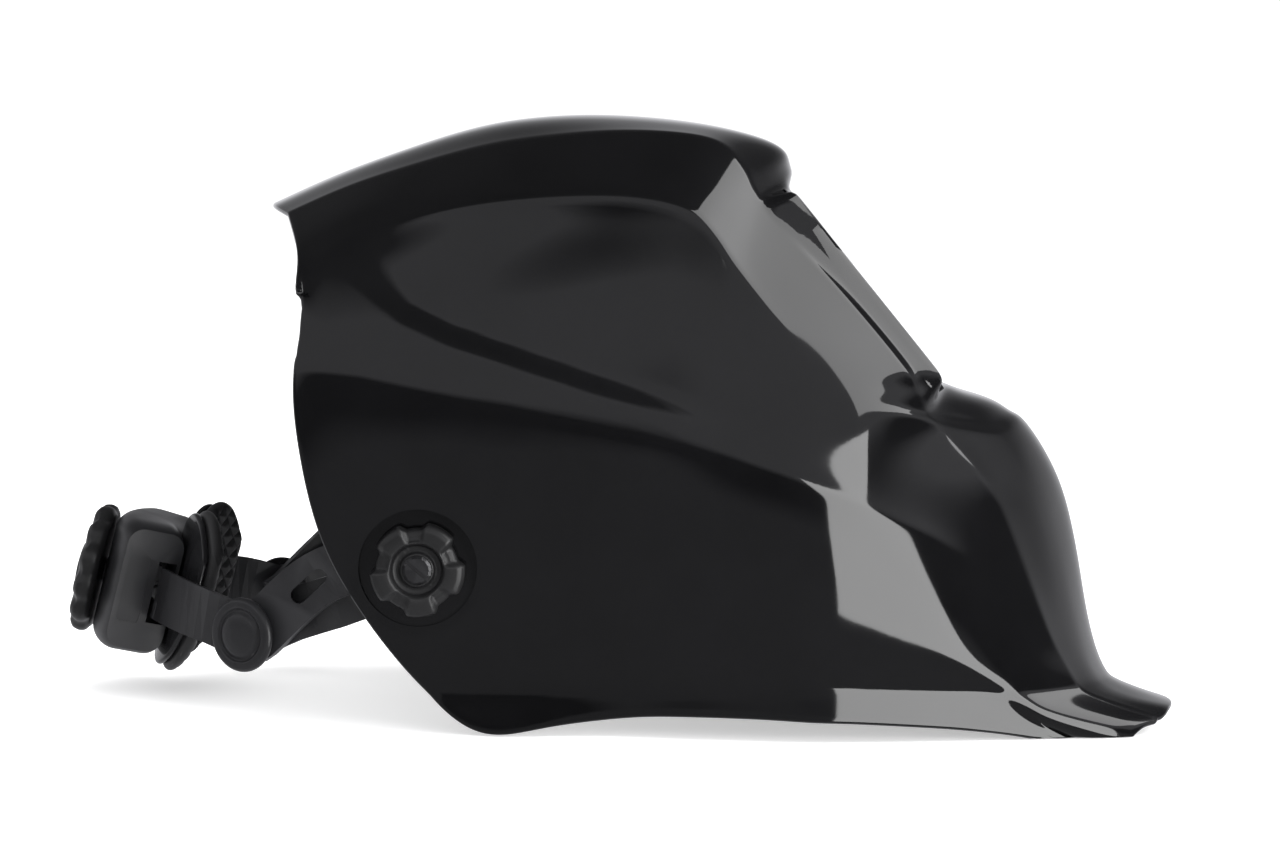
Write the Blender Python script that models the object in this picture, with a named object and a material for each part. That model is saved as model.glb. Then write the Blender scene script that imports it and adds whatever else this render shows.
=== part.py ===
"""Welding helmet: moulded shell, window with filter cartridge, pivots and ratchet headgear.

Numbers are millimetres and become metres in put(). The design frame has +X towards the
face of the helmet, +Z up and +Y to the wearer's left. It is leant back by REST_LEAN at the
end, so that the helmet stands on its chin and its two rear corners.
"""

import math

import bmesh
import bpy
import numpy as np
from mathutils import Matrix, Vector

MM = 0.001

# Driving sizes.
SHELL_LENGTH = 357.0  # rear lip to chin tip
SHELL_HEIGHT = 245.0  # rim to crown
SHELL_WIDTH = 218.0  # across the temples
WALL = 2.5
PIVOT_X = -84.0
PIVOT_Z = 72.0
REST_LEAN = math.radians(2.2)
FLOOR_Z = 6.8  # height of the floor in the leant design frame
FILTER_WIDTH = 110.0
FILTER_HEIGHT = 90.0
FILTER_DEPTH = 9.0
KNOB_RADIUS = 17.5
KNOB_HEIGHT = 10.0
STRAP_WIDTH = 20.0
STRAP_THICK = 2.0
BUTTON_RADIUS = 14.0
RATCHET_RADIUS = 26.0
HEAD_HALF_WIDTH = 80.0
GAP = 0.35  # between pieces that touch
SHARP = math.radians(32)  # edges sharper than this are not shaded round

SX = SHELL_LENGTH / 357.0
SY = SHELL_WIDTH / 218.0
SZ = SHELL_HEIGHT / 245.0

# Sections of the shell from the middle (first point) round to the rim (last point).
SECTIONS = (
    (
        (-146, 0, 206), (-143, 28, 205), (-136, 52, 202), (-130, 78, 190), (-127.5, 92, 179),
        (-125.5, 98, 168),
    ),
    (
        (-121.6, 0, 217), (-119, 29, 216), (-113, 55, 212), (-115, 84, 194), (-122, 97, 169),
        (-128, 103, 146),
    ),
    (
        (-98, 0, 225.7), (-96, 30, 224.6), (-90, 57, 219.5), (-100, 87, 197), (-114, 103, 158),
        (-127.5, 107, 122),
    ),
    ((-70, 0, 235), (-69, 30, 233), (-63, 58, 227), (-79, 89, 203), (-98, 107, 145), (-120, 107, 84)),
    (
        (-46, 0, 239.7), (-46, 31, 237.4), (-42, 59, 230.5), (-56, 91, 207), (-78, 109, 132),
        (-105, 104, 54),
    ),
    ((-18, 0, 241.3), (-18, 31, 239), (-14, 60, 233), (-28, 92, 209), (-55, 109, 122), (-84, 99, 26)),
    (
        (12.4, 0, 239.3), (12, 31, 237.5), (10, 61, 232.5), (-3, 91, 208), (-32, 109, 115),
        (-63, 92, 8.6),
    ),
    ((38, 0, 234.6), (36, 31, 233.5), (28, 62, 229), (16, 90, 203), (-10, 108, 110), (-35, 90, 11.5)),
    ((55, 0, 227.5), (54, 32, 226), (38, 64, 218), (27, 89, 192), (8, 106, 104), (-6, 87, 13.6)),
    ((60.4, 0, 214), (58, 32, 213), (46, 66, 203), (37, 88, 177), (26, 104, 97), (18, 89, 13.9)),
    ((85, 0, 175), (85, 32, 175), (75, 69, 172), (58, 89, 149), (48, 102, 86), (44, 87, 13)),
    ((114, 0, 139), (114, 32, 139), (103, 69, 138), (78, 89, 124), (66, 98, 74), (62, 86, 12)),
    ((145, 0, 128.5), (137, 31, 127), (110, 64, 122), (90, 85, 106), (80, 93, 64), (78, 82, 11.2)),
    ((164.8, 0, 101.7), (154, 28, 101), (131, 57, 99), (107, 77, 89), (98, 86, 54), (100, 75, 9.3)),
    ((173.2, 0, 73.7), (163.5, 26, 73.5), (144, 51, 72), (124, 70, 66), (115, 78, 41), (122, 66, 7)),
    ((178.8, 0, 40.9), (171, 25, 41), (156, 47, 41), (138, 63, 40), (131, 69, 26), (143, 55.5, 4.6)),
    ((186, 0, 19.7), (179, 24, 20), (165, 45, 24), (149, 58, 24), (144, 62, 16), (160, 47.5, 2.2)),
    ((197.6, 0, 9.5), (190, 23, 10), (174, 41, 14), (159, 52, 14), (156, 55, 9), (174, 40, 0.4)),
    ((209, 0, 2.5), (205, 19, 2.2), (198, 29, 1.0), (192, 35, -0.2), (188, 38, -0.9), (186, 39, -1.2)),
)
WINDOW_MIDDLE = (85.5, 174.5)
SEAT_WIDTH = 110.0  # size of filter that the sections are drawn for
SEAT_HEIGHT = 90.0
SEAT_REACH = 56.0  # from the window's middle, how far its seat keeps its shape
SHELL_REACH = 130.0
CREASE_Y = 69.0  # half width at the edge of the window's bevel
TEMPLE_Y = 109.0
WINDOW_LEAN = math.radians(38.9)
BUTTON_X = -146.0
BUTTON_Z = 44.0
BUTTON_TURN = math.radians(33.0)
REAR_SLOPE = math.radians(14.0)
FRONT_SLOPE = math.radians(22.7)


def clear_scene():
    for item in list(bpy.data.objects):
        bpy.data.objects.remove(item, do_unlink=True)
    for item in list(bpy.data.meshes):
        bpy.data.meshes.remove(item)
    for item in list(bpy.data.materials):
        bpy.data.materials.remove(item)


def fit(x, y, z):
    """A nominal design point moved to the size of shell that is being made."""
    return Vector((PIVOT_X + (x - PIVOT_X) * SX, y * SY, PIVOT_Z + (z - PIVOT_Z) * SZ))


def material(name, colour, rough, metal=0.0, alpha=1.0):
    made = bpy.data.materials.new(name)
    made.use_nodes = True
    shader = made.node_tree.nodes["Principled BSDF"]
    shader.inputs["Base Color"].default_value = (*colour, 1.0)
    shader.inputs["Roughness"].default_value = rough
    shader.inputs["Metallic"].default_value = metal
    shader.inputs["Alpha"].default_value = alpha
    made.diffuse_color = (*colour, alpha)
    return made


def put(name, points, faces, look=None, parent=None, pivot=(0, 0, 0)):
    """A mesh object from points in millimetres, with its origin at pivot."""
    pivot = Vector(pivot)
    mesh = bpy.data.meshes.new(name)
    mesh.from_pydata([(Vector(p) - pivot) * MM for p in points], [], faces)
    work = bmesh.new()
    work.from_mesh(mesh)
    bmesh.ops.remove_doubles(work, verts=work.verts, dist=1e-6)
    bmesh.ops.recalc_face_normals(work, faces=work.faces)
    work.to_mesh(mesh)
    work.free()
    mesh.shade_smooth()
    mesh.set_sharp_from_angle(angle=SHARP)
    made = bpy.data.objects.new(name, mesh)
    bpy.context.collection.objects.link(made)
    made["design_pivot"] = list(pivot)
    if look:
        mesh.materials.append(material(name, *look))
    attach(made, parent or REST, pivot)
    return made


def attach(item, parent, pivot):
    base = Vector(parent["design_pivot"]) if "design_pivot" in parent else Vector((0, 0, 0))
    item.parent = parent
    item.location = (Vector(pivot) - base) * MM


def axis_empty(name, pivot, parent):
    made = bpy.data.objects.new(name, None)
    bpy.context.collection.objects.link(made)
    made["design_pivot"] = list(pivot)
    attach(made, parent, pivot)
    return made


def helper(item):
    item.hide_render = True
    item.display_type = "WIRE"
    return item


def combine(item, other, operation):
    step = item.modifiers.new(operation.lower() + "_" + other.name, "BOOLEAN")
    step.operation = operation
    step.solver = "EXACT"
    step.object = helper(other)


def frame_of(origin, out, up):
    """Columns are across, up and out; the last column is the origin."""
    out = Vector(out).normalized()
    up = Vector(up)
    up = (up - out * up.dot(out)).normalized()
    across = up.cross(out)
    rows = Matrix((across, up, out)).transposed().to_4x4()
    rows.translation = Vector(origin)
    return rows


def prism(outline, low, high, frame):
    """Points and faces of an outline pushed from low to high along the frame's out axis."""
    count = len(outline)
    points = [frame @ Vector((a, b, low)) for a, b in outline]
    points += [frame @ Vector((a, b, high)) for a, b in outline]
    faces = [tuple(range(count))[::-1], tuple(range(count, 2 * count))]
    faces += [(i, (i + 1) % count, (i + 1) % count + count, i + count) for i in range(count)]
    return points, faces


def rounded(width, height, radius, middle=(0, 0), steps=3):
    radius = min(radius, width / 2 - 0.01, height / 2 - 0.01)
    found = []
    for corner, (sx, sy) in enumerate(((1, 1), (-1, 1), (-1, -1), (1, -1))):
        for step in range(steps + 1):
            angle = math.pi / 2 * (corner + step / steps)
            found.append((
                middle[0] + sx * (width / 2 - radius) + radius * math.cos(angle),
                middle[1] + sy * (height / 2 - radius) + radius * math.sin(angle),
            ))
    return found


def circle(radius, count=24, middle=(0, 0)):
    return [
        (
            middle[0] + radius * math.cos(2 * math.pi * i / count),
            middle[1] + radius * math.sin(2 * math.pi * i / count),
        )
        for i in range(count)
    ]


def turned(profile, frame, count=28, ridge=None):
    """A closed profile of (radius, height) pairs turned round the frame's out axis.

    Pairs at radius 0 close the ends; a profile without them is a ring with a bore.
    """
    points = []
    faces = []
    rows = []
    for number, (radius, height) in enumerate(profile):
        if radius == 0:
            rows.append([len(points)] * count)
            points.append(frame @ Vector((0, 0, height)))
            continue
        row = []
        for i in range(count):
            angle = 2 * math.pi * i / count
            reach = radius * (ridge(angle, number) if ridge else 1)
            row.append(len(points))
            points.append(frame @ Vector((reach * math.cos(angle), reach * math.sin(angle), height)))
        rows.append(row)
    ring = all(radius > 0 for radius, _ in profile)
    pairs = list(zip(rows, rows[1:] + (rows[:1] if ring else [])))
    if not ring:
        pairs = pairs[: len(rows) - 1]
    for low, high in pairs:
        for i in range(count):
            j = (i + 1) % count
            face = list(dict.fromkeys((low[i], low[j], high[j], high[i])))
            if len(face) > 2:
                faces.append(tuple(face))
    return points, faces


def swept(path, ups, low, high, bottom, top, soft=0.0):
    """A strip along a path: bottom..top along the up direction, low..high outwards."""
    path = [Vector(p) for p in path]
    points = []
    count = len(path)
    section = [(bottom, low), (top, low), (top, high), (bottom, high)]
    if soft:
        section = [
            (bottom + soft, low), (top - soft, low), (top, low + soft), (top, high - soft),
            (top - soft, high), (bottom + soft, high), (bottom, high - soft), (bottom, low + soft),
        ]
    for i, point in enumerate(path):
        along = (path[min(i + 1, count - 1)] - path[max(i - 1, 0)]).normalized()
        up = Vector(ups[i])
        up = (up - along * up.dot(along)).normalized()
        out = along.cross(up)
        points += [point + up * a + out * b for a, b in section]
    size = len(section)
    faces = [tuple(range(size))[::-1], tuple(range((count - 1) * size, count * size))]
    for i in range(count - 1):
        for k in range(size):
            m = (k + 1) % size
            faces.append((i * size + k, i * size + m, (i + 1) * size + m, (i + 1) * size + k))
    return points, faces


def mirrored(points, faces):
    return [(p[0], -p[1], p[2]) for p in points], [face[::-1] for face in faces]


def pair(name, shape, look, parent, pivot=None):
    """The same piece on both sides: _R is the wearer's right (-Y), _L the left (+Y)."""
    made = {}
    for side in ("R", "L"):
        points, faces = shape if side == "L" else mirrored(*shape)
        place = pivot or (0, 0, 0)
        if side == "R":
            place = (place[0], -place[1], place[2])
        made[side] = put(f"{name}_{side}", points, faces, look, parent, place)
    return made


def cut_pair(made, name, shape, operation="DIFFERENCE"):
    for side, item in made.items():
        points, faces = shape if side == "L" else mirrored(*shape)
        place = Vector(item["design_pivot"])
        combine(item, put(f"{name}_{side}", points, faces, None, item.parent, place), operation)


def cut_one(item, name, shape, operation="DIFFERENCE"):
    place = Vector(item["design_pivot"])
    combine(item, put(name, *shape, None, item.parent, place), operation)


# --- Shell surface --------------------------------------------------------------------------


def weights(params, count):
    """Catmull-Rom weights of count control points at each parameter."""
    table = np.zeros((len(params), count))
    for row, t in enumerate(params):
        i = min(int(t), count - 2)
        f = t - i
        basis = (
            0.5 * (-f**3 + 2 * f**2 - f),
            0.5 * (3 * f**3 - 5 * f**2 + 2),
            0.5 * (-3 * f**3 + 4 * f**2 + f),
            0.5 * (f**3 - f**2),
        )
        for k, value in enumerate(basis):
            j = i - 1 + k
            if j < 0:
                table[row, 0] += 2 * value
                table[row, 1] -= value
            elif j >= count:
                table[row, -1] += 2 * value
                table[row, -2] -= value
            else:
                table[row, j] += value
    return table


def smooth(value, low, high):
    t = np.clip((value - low) / (high - low), 0, 1)
    return t * t * (3 - 2 * t)


def line_at(x, knots):
    xs, zs = zip(*knots)
    return np.interp(x, xs, zs)


def shell_offset(x, y, z):
    """How far the moulded features stand out of the smooth shell, in millimetres."""
    side = smooth(np.abs(y), 66, 84)
    pocket_top = line_at(
        x, ((-110, 176), (-104, 181), (-99, 186), (-77, 191), (-45, 199), (-13, 206), (34, 211)),
    )
    pocket_low = line_at(
        x, ((-110, 186), (-104, 178), (-88, 165.6), (-67, 155.7), (-45, 147), (0, 134), (40, 122)),
    )
    inside = smooth(pocket_top - z, -2.0, 3.0) * smooth(z - pocket_low, -3.0, 4.0)
    window_side = line_at(
        z, ((121, 116), (132, 109), (148, 95), (164, 81), (181, 67), (195, 55), (209, 38)),
    )
    behind = smooth(window_side - x, -1.0, 5.0)
    fade = 1 - smooth(x, -40, 30) * (1 - smooth(z, 150, 185))
    pocket = -2.8 * inside * behind * fade * side
    ridge_line = line_at(
        x,
        (
            (-128, 145), (-104, 142.5), (-67, 134), (-50, 131), (30, 114), (52, 105), (107, 80),
            (125, 70),
        ),
    )
    ridge = 1.6 * np.exp(-(((z - ridge_line) / 9.0) ** 2)) * side
    crease = line_at(x, ((-120, 29), (-80, 25.5), (60, 24.5), (120, 21), (170, 18.5), (186, 18)))
    flange = 4.0 * smooth(crease - z, 0.0, 15.0) * smooth(x, -100, -75)
    return pocket + ridge + flange


def resized(points):
    """The nominal surface at the size that is being made; the window's seat follows the filter."""
    x, y, z = np.moveaxis(points, 2, 0)
    dx = x - WINDOW_MIDDLE[0]
    dz = z - WINDOW_MIDDLE[1]
    near = 1 - smooth(np.hypot(dx, dz), SEAT_REACH, SHELL_REACH)
    window = fit(WINDOW_MIDDLE[0], 0, WINDOW_MIDDLE[1])
    seat_x = window.x + dx * FILTER_HEIGHT / SEAT_HEIGHT
    seat_z = window.z + dz * FILTER_HEIGHT / SEAT_HEIGHT
    free_x = PIVOT_X + (x - PIVOT_X) * SX
    free_z = PIVOT_Z + (z - PIVOT_Z) * SZ
    crease = CREASE_Y * FILTER_WIDTH / SEAT_WIDTH
    beyond = (TEMPLE_Y * SY - crease) / (TEMPLE_Y - CREASE_Y)
    inner = np.minimum(np.abs(y), CREASE_Y)
    half = inner * crease / CREASE_Y + (np.abs(y) - inner) * beyond
    made = (seat_x * near + free_x * (1 - near), np.sign(y) * half, seat_z * near + free_z * (1 - near))
    return np.stack(made, axis=2)


def shell_surface(rows, columns):
    net = np.array(SECTIONS, float)
    left = net[:, ::-1].copy()
    right = net[:, 1:].copy()
    right[:, :, 1] *= -1
    full = np.concatenate([left, right], axis=1)
    a = weights(rows, full.shape[0])
    b = weights(columns, full.shape[1])
    points = np.einsum("ij,jkc,lk->ilc", a, full, b)
    lean = (math.sin(WINDOW_LEAN), math.cos(WINDOW_LEAN))
    dx = points[..., 0] - WINDOW_MIDDLE[0]
    dz = points[..., 2] - WINDOW_MIDDLE[1]
    along = dx * lean[0] - dz * lean[1]
    height = dx * lean[1] + dz * lean[0]
    flat = (1 - smooth(np.abs(points[..., 1]), 61, 67)) * (1 - smooth(np.abs(along), 45.5, 52))
    points[..., 0] -= height * lean[1] * flat
    points[..., 2] -= height * lean[0] * flat
    normal = np.cross(np.gradient(points, axis=0), np.gradient(points, axis=1))
    normal /= np.linalg.norm(normal, axis=2, keepdims=True)
    if normal[len(rows) // 3, len(columns) // 2, 2] < 0:
        normal = -normal
    points += normal * shell_offset(points[..., 0], points[..., 1], points[..., 2])[..., None]
    points = resized(points)
    normal = np.cross(np.gradient(points, axis=0), np.gradient(points, axis=1))
    normal /= np.linalg.norm(normal, axis=2, keepdims=True)
    if normal[len(rows) // 3, len(columns) // 2, 2] < 0:
        normal = -normal
    return points, normal


def on_floor(points):
    """Anything that would reach below the floor is flattened on it."""
    sine, cosine = math.sin(REST_LEAN), math.cos(REST_LEAN)
    low = FLOOR_Z - (points[..., 0] * sine + points[..., 2] * cosine)
    low = np.maximum(low, 0)
    points[..., 0] += low * sine
    points[..., 2] += low * cosine
    return points


def shell_shape():
    last = len(SECTIONS) - 1
    extra = (8.8, 9.2, 10.85, 11.25)  # at the two ends of the window
    rows = np.sort(np.append(np.linspace(0, last, 2 * last + 1), extra))
    half = [0, 0.5, 1, 1.4, 1.76, 2, 2.4, 2.7, 3, 3.35, 3.7, 4, 4.35, 4.65, 4.8, 5]
    columns = np.array([5 - v for v in reversed(half)] + [5 + v for v in half[1:]])
    outer, normal = shell_surface(rows, columns)
    inner = on_floor(outer - normal * WALL)
    outer = on_floor(outer)
    height, width = outer.shape[:2]
    points = [tuple(p) for p in outer.reshape(-1, 3)] + [tuple(p) for p in inner.reshape(-1, 3)]
    shift = height * width
    faces = []
    for i in range(height - 1):
        for j in range(width - 1):
            quad = (i * width + j, i * width + j + 1, (i + 1) * width + j + 1, (i + 1) * width + j)
            faces.append(quad)
            faces.append(tuple(shift + k for k in reversed(quad)))
    edge = [(0, j) for j in range(width)] + [(i, width - 1) for i in range(1, height)]
    edge += [(height - 1, j) for j in range(width - 2, -1, -1)] + [
        (i, 0) for i in range(height - 2, 0, -1)
    ]
    loop = [i * width + j for i, j in edge]
    for k, here in enumerate(loop):
        after = loop[(k + 1) % len(loop)]
        faces.append((after, here, here + shift, after + shift))
    return points, faces, outer


clear_scene()
REST = bpy.data.objects.new("rest_pose", None)
bpy.context.collection.objects.link(REST)

shell_points, shell_faces, shell_outer = shell_shape()
shell = put("helmet_shell", shell_points, shell_faces, ((0.015, 0.015, 0.017), 0.12))

# The wall at the pivots decides where the seat of each knob is.
near = shell_outer.reshape(-1, 3)
near = near[near[:, 1] > 0]
reach = np.hypot(near[:, 0] - PIVOT_X, near[:, 2] - PIVOT_Z)
SEAT = float(near[np.argsort(reach)[:4], 1].mean()) - 2.2
PIVOT = Vector((PIVOT_X, SEAT, PIVOT_Z))


def pivot_frame(offset=0.0):
    """Out axis along +Y, up axis +Z, origin offset from the knob's seat."""
    return frame_of((PIVOT_X, SEAT + offset, PIVOT_Z), (0, 1, 0), (0, 0, 1))


# --- Window --------------------------------------------------------------------------------

window_normal = Vector((math.cos(WINDOW_LEAN), 0, math.sin(WINDOW_LEAN)))
window_up = Vector((-math.sin(WINDOW_LEAN), 0, math.cos(WINDOW_LEAN)))
middle = fit(WINDOW_MIDDLE[0], 0, WINDOW_MIDDLE[1])
WINDOW = frame_of(middle, window_normal, window_up)
LENS_WIDTH = FILTER_WIDTH + 3.0
LENS_HEIGHT = FILTER_HEIGHT + 1.0
HOLDER_WIDTH = FILTER_WIDTH + 8.0
HOLDER_HEIGHT = FILTER_HEIGHT + 8.0
OPENING_WIDTH = FILTER_WIDTH - 8.0
OPENING_HEIGHT = FILTER_HEIGHT - 10.0
LENS_THICK = 1.6
FRAME_BACK = -6.0
FILTER_FRONT = FRAME_BACK - GAP
FILTER_BACK = FILTER_FRONT - FILTER_DEPTH


def window_prism(width, height, radius, low, high, at=(0, 0)):
    return prism(rounded(width, height, radius, at), low, high, WINDOW)


cut_one(shell, "window_rim", window_prism(HOLDER_WIDTH, HOLDER_HEIGHT, 8, FRAME_BACK, -1.0), "UNION")
for side, turn in (("L", 1), ("R", -1)):
    seat = frame_of((PIVOT_X, turn * SEAT, PIVOT_Z), (0, turn, 0), (0, 0, 1))
    cut_one(shell, f"pivot_boss_{side}", prism(circle(24, 24), -3.4, 0.9, seat), "UNION")
    cut_one(shell, f"knob_recess_{side}", prism(circle(KNOB_RADIUS + 4.0, 24), 0, 30, seat))
    cut_one(shell, f"pivot_hole_{side}", prism(circle(4.2, 14), -30, 30, seat))
cut_one(
    shell, "lens_recess", window_prism(LENS_WIDTH + 0.8, LENS_HEIGHT + 0.8, 6.4, -LENS_THICK - 0.7, 20),
)
cut_one(shell, "window_opening", window_prism(OPENING_WIDTH, OPENING_HEIGHT, 5, -30, 30))

put(
    "outer_cover_lens", *window_prism(LENS_WIDTH, LENS_HEIGHT, 6, -LENS_THICK - GAP, -GAP),
    ((0.03, 0.035, 0.03), 0.05, 0.0, 0.35),
)
holder = put(
    "filter_holder",
    *window_prism(HOLDER_WIDTH, HOLDER_HEIGHT, 8, FILTER_BACK - 1.4, FRAME_BACK - 0.3),
    ((0.03, 0.03, 0.032), 0.5),
)
cut_one(holder, "holder_bay", window_prism(FILTER_WIDTH + 1, FILTER_HEIGHT + 1, 3, -60, 0))
TRAY_AT = -FILTER_HEIGHT / 2 + 15.0
TRAY_DEEP = 21.0
TRAY_TALL = 22.0
cut_one(
    holder, "tray_notches",
    window_prism(HOLDER_WIDTH + 20, TRAY_TALL + 2, 1, -60, FILTER_FRONT - 1.6, (0, TRAY_AT)),
)

# --- Filter cartridge ------------------------------------------------------------------------

VIEW_WIDTH = FILTER_WIDTH - 14.0
VIEW_HEIGHT = FILTER_HEIGHT * 0.5
VIEW_AT = FILTER_HEIGHT / 2 - 8.0 - VIEW_HEIGHT / 2
cartridge = put(
    "filter_cartridge", *window_prism(FILTER_WIDTH, FILTER_HEIGHT, 3, FILTER_BACK, FILTER_FRONT),
    ((0.02, 0.02, 0.022), 0.45),
)
cut_one(cartridge, "view_hole", window_prism(VIEW_WIDTH, VIEW_HEIGHT, 2, -60, 20, (0, VIEW_AT)))
cut_one(
    cartridge, "inner_lens_recess",
    window_prism(VIEW_WIDTH + 6, VIEW_HEIGHT + 6, 2, FILTER_BACK - 5, FILTER_BACK + 1.9, (0, VIEW_AT)),
)
SOLAR_WIDTH = FILTER_WIDTH * 0.44
cut_one(
    cartridge, "solar_recess",
    window_prism(SOLAR_WIDTH + 0.8, 12.8, 1, FILTER_FRONT - 1.5, 20, (0, TRAY_AT)),
)
put(
    "filter_glass",
    *window_prism(
        VIEW_WIDTH - 0.8, VIEW_HEIGHT - 0.8, 1.6, FILTER_FRONT - 5.5, FILTER_FRONT - 1.0, (0, VIEW_AT),
    ),
    ((0.02, 0.06, 0.03), 0.06, 0.0, 0.8),
)
put(
    "solar_cell",
    *window_prism(SOLAR_WIDTH, 12, 0.6, FILTER_FRONT - 1.2, FILTER_FRONT - 0.3, (0, TRAY_AT)),
    ((0.03, 0.02, 0.05), 0.2),
)
put(
    "inner_cover_lens",
    *window_prism(
        VIEW_WIDTH + 5, VIEW_HEIGHT + 5, 2, FILTER_BACK + 0.3, FILTER_BACK + 1.5, (0, VIEW_AT),
    ),
    ((0.8, 0.85, 0.85), 0.05, 0.0, 0.3),
)
SENSOR_Y = SOLAR_WIDTH / 2 + 7.5
for side, turn in (("L", 1), ("R", -1)):
    spot = WINDOW @ Vector((turn * SENSOR_Y, TRAY_AT + 3, FILTER_FRONT))
    frame = frame_of(spot, window_normal, window_up)
    cut_one(cartridge, f"sensor_hole_{side}", prism(circle(3.2, 12), -2.2, 5, frame))
    put(
        f"arc_sensor_{side}",
        *turned(((0, -1.9), (2.8, -1.9), (2.8, -0.6), (1.8, 0.1), (0, 0.25)), frame, 16),
        ((0.25, 0.03, 0.03), 0.1),
    )

back_frame = WINDOW @ Matrix.Rotation(math.pi, 4, "Y")
BACK = -FILTER_BACK
DIALS = (("sensitivity_dial", -19.0, 5.5), ("shade_dial", 0.0, 7.5), ("delay_dial", 19.0, 5.5))
DIAL_TEETH = 10


def dial_ridge(angle, row):
    """Small teeth round the rows of the dial's rim."""
    if row < 3 or row > 5:
        return 1.0
    return 1.0 + 0.04 * (int(angle * DIAL_TEETH / math.pi + 0.5) % 2)


for name, across, radius in DIALS:
    spot = back_frame @ Vector((across, TRAY_AT, BACK))
    frame = frame_of(spot, -window_normal, window_up)
    cut_one(cartridge, f"{name}_hole", prism(circle(2.3, 12), -2.6, 5, frame))
    grip = put(
        name,
        *turned(
            (
                (0, -2.3), (2.0, -2.3), (2.0, 0.35), (radius, 0.35), (radius, 2.8), (radius - 0.7, 3.6),
                (0, 3.6),
            ),
            frame, 2 * DIAL_TEETH, dial_ridge,
        ),
        ((0.55, 0.56, 0.57), 0.4), None, spot,
    )
    cut_one(grip, f"{name}_slot", prism(rounded(radius * 1.3, 1.2, 0.4), 2.8, 6, frame))
spot = back_frame @ Vector((29.5, TRAY_AT + 5, BACK))
frame = frame_of(spot, -window_normal, window_up)
cut_one(cartridge, "test_button_hole", prism(circle(2.7, 12), -2.6, 5, frame))
put(
    "test_button", *turned(((0, -0.9), (2.3, -0.9), (2.3, 1.3), (1.8, 1.7), (0, 1.7)), frame, 16),
    ((0.6, 0.08, 0.05), 0.4),
)

TRAY_MID = (FILTER_FRONT + FILTER_BACK) / 2 - 0.3
for side, turn in (("L", 1), ("R", -1)):
    edge = turn * FILTER_WIDTH / 2
    inner = edge - turn * TRAY_DEEP
    middle_x = (edge + inner) / 2
    cut_one(
        cartridge, f"tray_pocket_{side}",
        window_prism(
            TRAY_DEEP + 8, TRAY_TALL + 0.8, 0.5, TRAY_MID - 2.6, TRAY_MID + 2.6,
            (middle_x + turn * 4, TRAY_AT),
        ),
    )
    tray = put(
        f"battery_tray_{side}",
        *window_prism(
            TRAY_DEEP - 0.8, TRAY_TALL, 1, TRAY_MID - 2.2, TRAY_MID + 2.2, (middle_x, TRAY_AT),
        ),
        ((0.04, 0.04, 0.045), 0.5),
    )
    cut_one(
        tray, f"cell_bay_{side}",
        prism(circle(8.6, 20, (middle_x, TRAY_AT)), TRAY_MID - 1.2, TRAY_MID + 9, WINDOW),
    )
    put(
        f"coin_cell_{side}",
        *prism(circle(8.2, 20, (middle_x, TRAY_AT)), TRAY_MID - 0.9, TRAY_MID + 1.7, WINDOW),
        ((0.75, 0.76, 0.78), 0.25, 1.0),
    )

# --- Filter retainer: a hinged frame and its latch ---------------------------------------------

RET_FRONT = FILTER_BACK - 1.4 - GAP
RET_BACK = RET_FRONT - 2.6
HINGE_UP = HOLDER_HEIGHT / 2 + 2.4
hinge_spot = WINDOW @ Vector((0, HINGE_UP, (RET_FRONT + RET_BACK) / 2))
retainer = put(
    "filter_retainer", *window_prism(HOLDER_WIDTH - 1, HOLDER_HEIGHT - 1, 7, RET_BACK, RET_FRONT),
    ((0.035, 0.035, 0.037), 0.45), None, hinge_spot,
)
cut_one(retainer, "retainer_hole", window_prism(FILTER_WIDTH - 3, FILTER_HEIGHT - 3, 3, -80, 10))
hinge = frame_of(hinge_spot + Vector((0, -24, 0)), (0, 1, 0), window_up)
cut_one(retainer, "hinge_tab", prism(rounded(2.5, 6.0, 0.3, (0, -2.6)), 0.02, 47.98, hinge), "UNION")
cut_one(retainer, "hinge_barrel", prism(circle(2.1, 12), 0, 48, hinge), "UNION")
cut_one(retainer, "hinge_bore", prism(circle(1.1, 12), -4, 52, hinge))
put("retainer_hinge_pin", *prism(circle(1.0, 12), -5, 53, hinge), ((0.6, 0.6, 0.62), 0.3, 1.0))
for turn in (-1, 1):
    ear = frame_of(hinge_spot + Vector((0, turn * 26.9 - 2.4, 0)), (0, 1, 0), window_up)
    outline = [
        (-2.2, 1.8), (-2.2, -1.0), (-1.0, -2.2), (2.2, -2.5), (4.6, -5.0), (11.4, -5.0), (11.4, 1.8),
    ]
    outline = [(-a, b) for a, b in outline][::-1]
    grip = prism(outline, 0, 4.8, ear)
    cut_one(holder, f"hinge_ear_{'L' if turn > 0 else 'R'}", grip, "UNION")
cut_one(holder, "ear_bore", prism(circle(1.25, 12), -8, 56, hinge))
LATCH_UP = -HOLDER_HEIGHT / 2 - 2.1
latch_outline = rounded(22, 3.0, 0.6, (0, LATCH_UP - 0.3))
latch = put(
    "retainer_latch", *prism(latch_outline, RET_BACK - 1.6, FILTER_BACK + 4, WINDOW),
    ((0.5, 0.09, 0.04), 0.45),
)
cut_one(
    latch, "latch_hook",
    prism(rounded(22, 4.6, 0.3, (0, LATCH_UP + 2.0)), RET_BACK - 1.6, RET_BACK - GAP, WINDOW), "UNION",
)

# --- Pivots ------------------------------------------------------------------------------------

tilt = axis_empty("tilt_axis", (PIVOT_X, 0, PIVOT_Z), REST)
WASHER = 1.2
KNOB_LOW = 2 * GAP + WASHER
KNOB_TOP = KNOB_LOW + KNOB_HEIGHT
LOBES = 5


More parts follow.
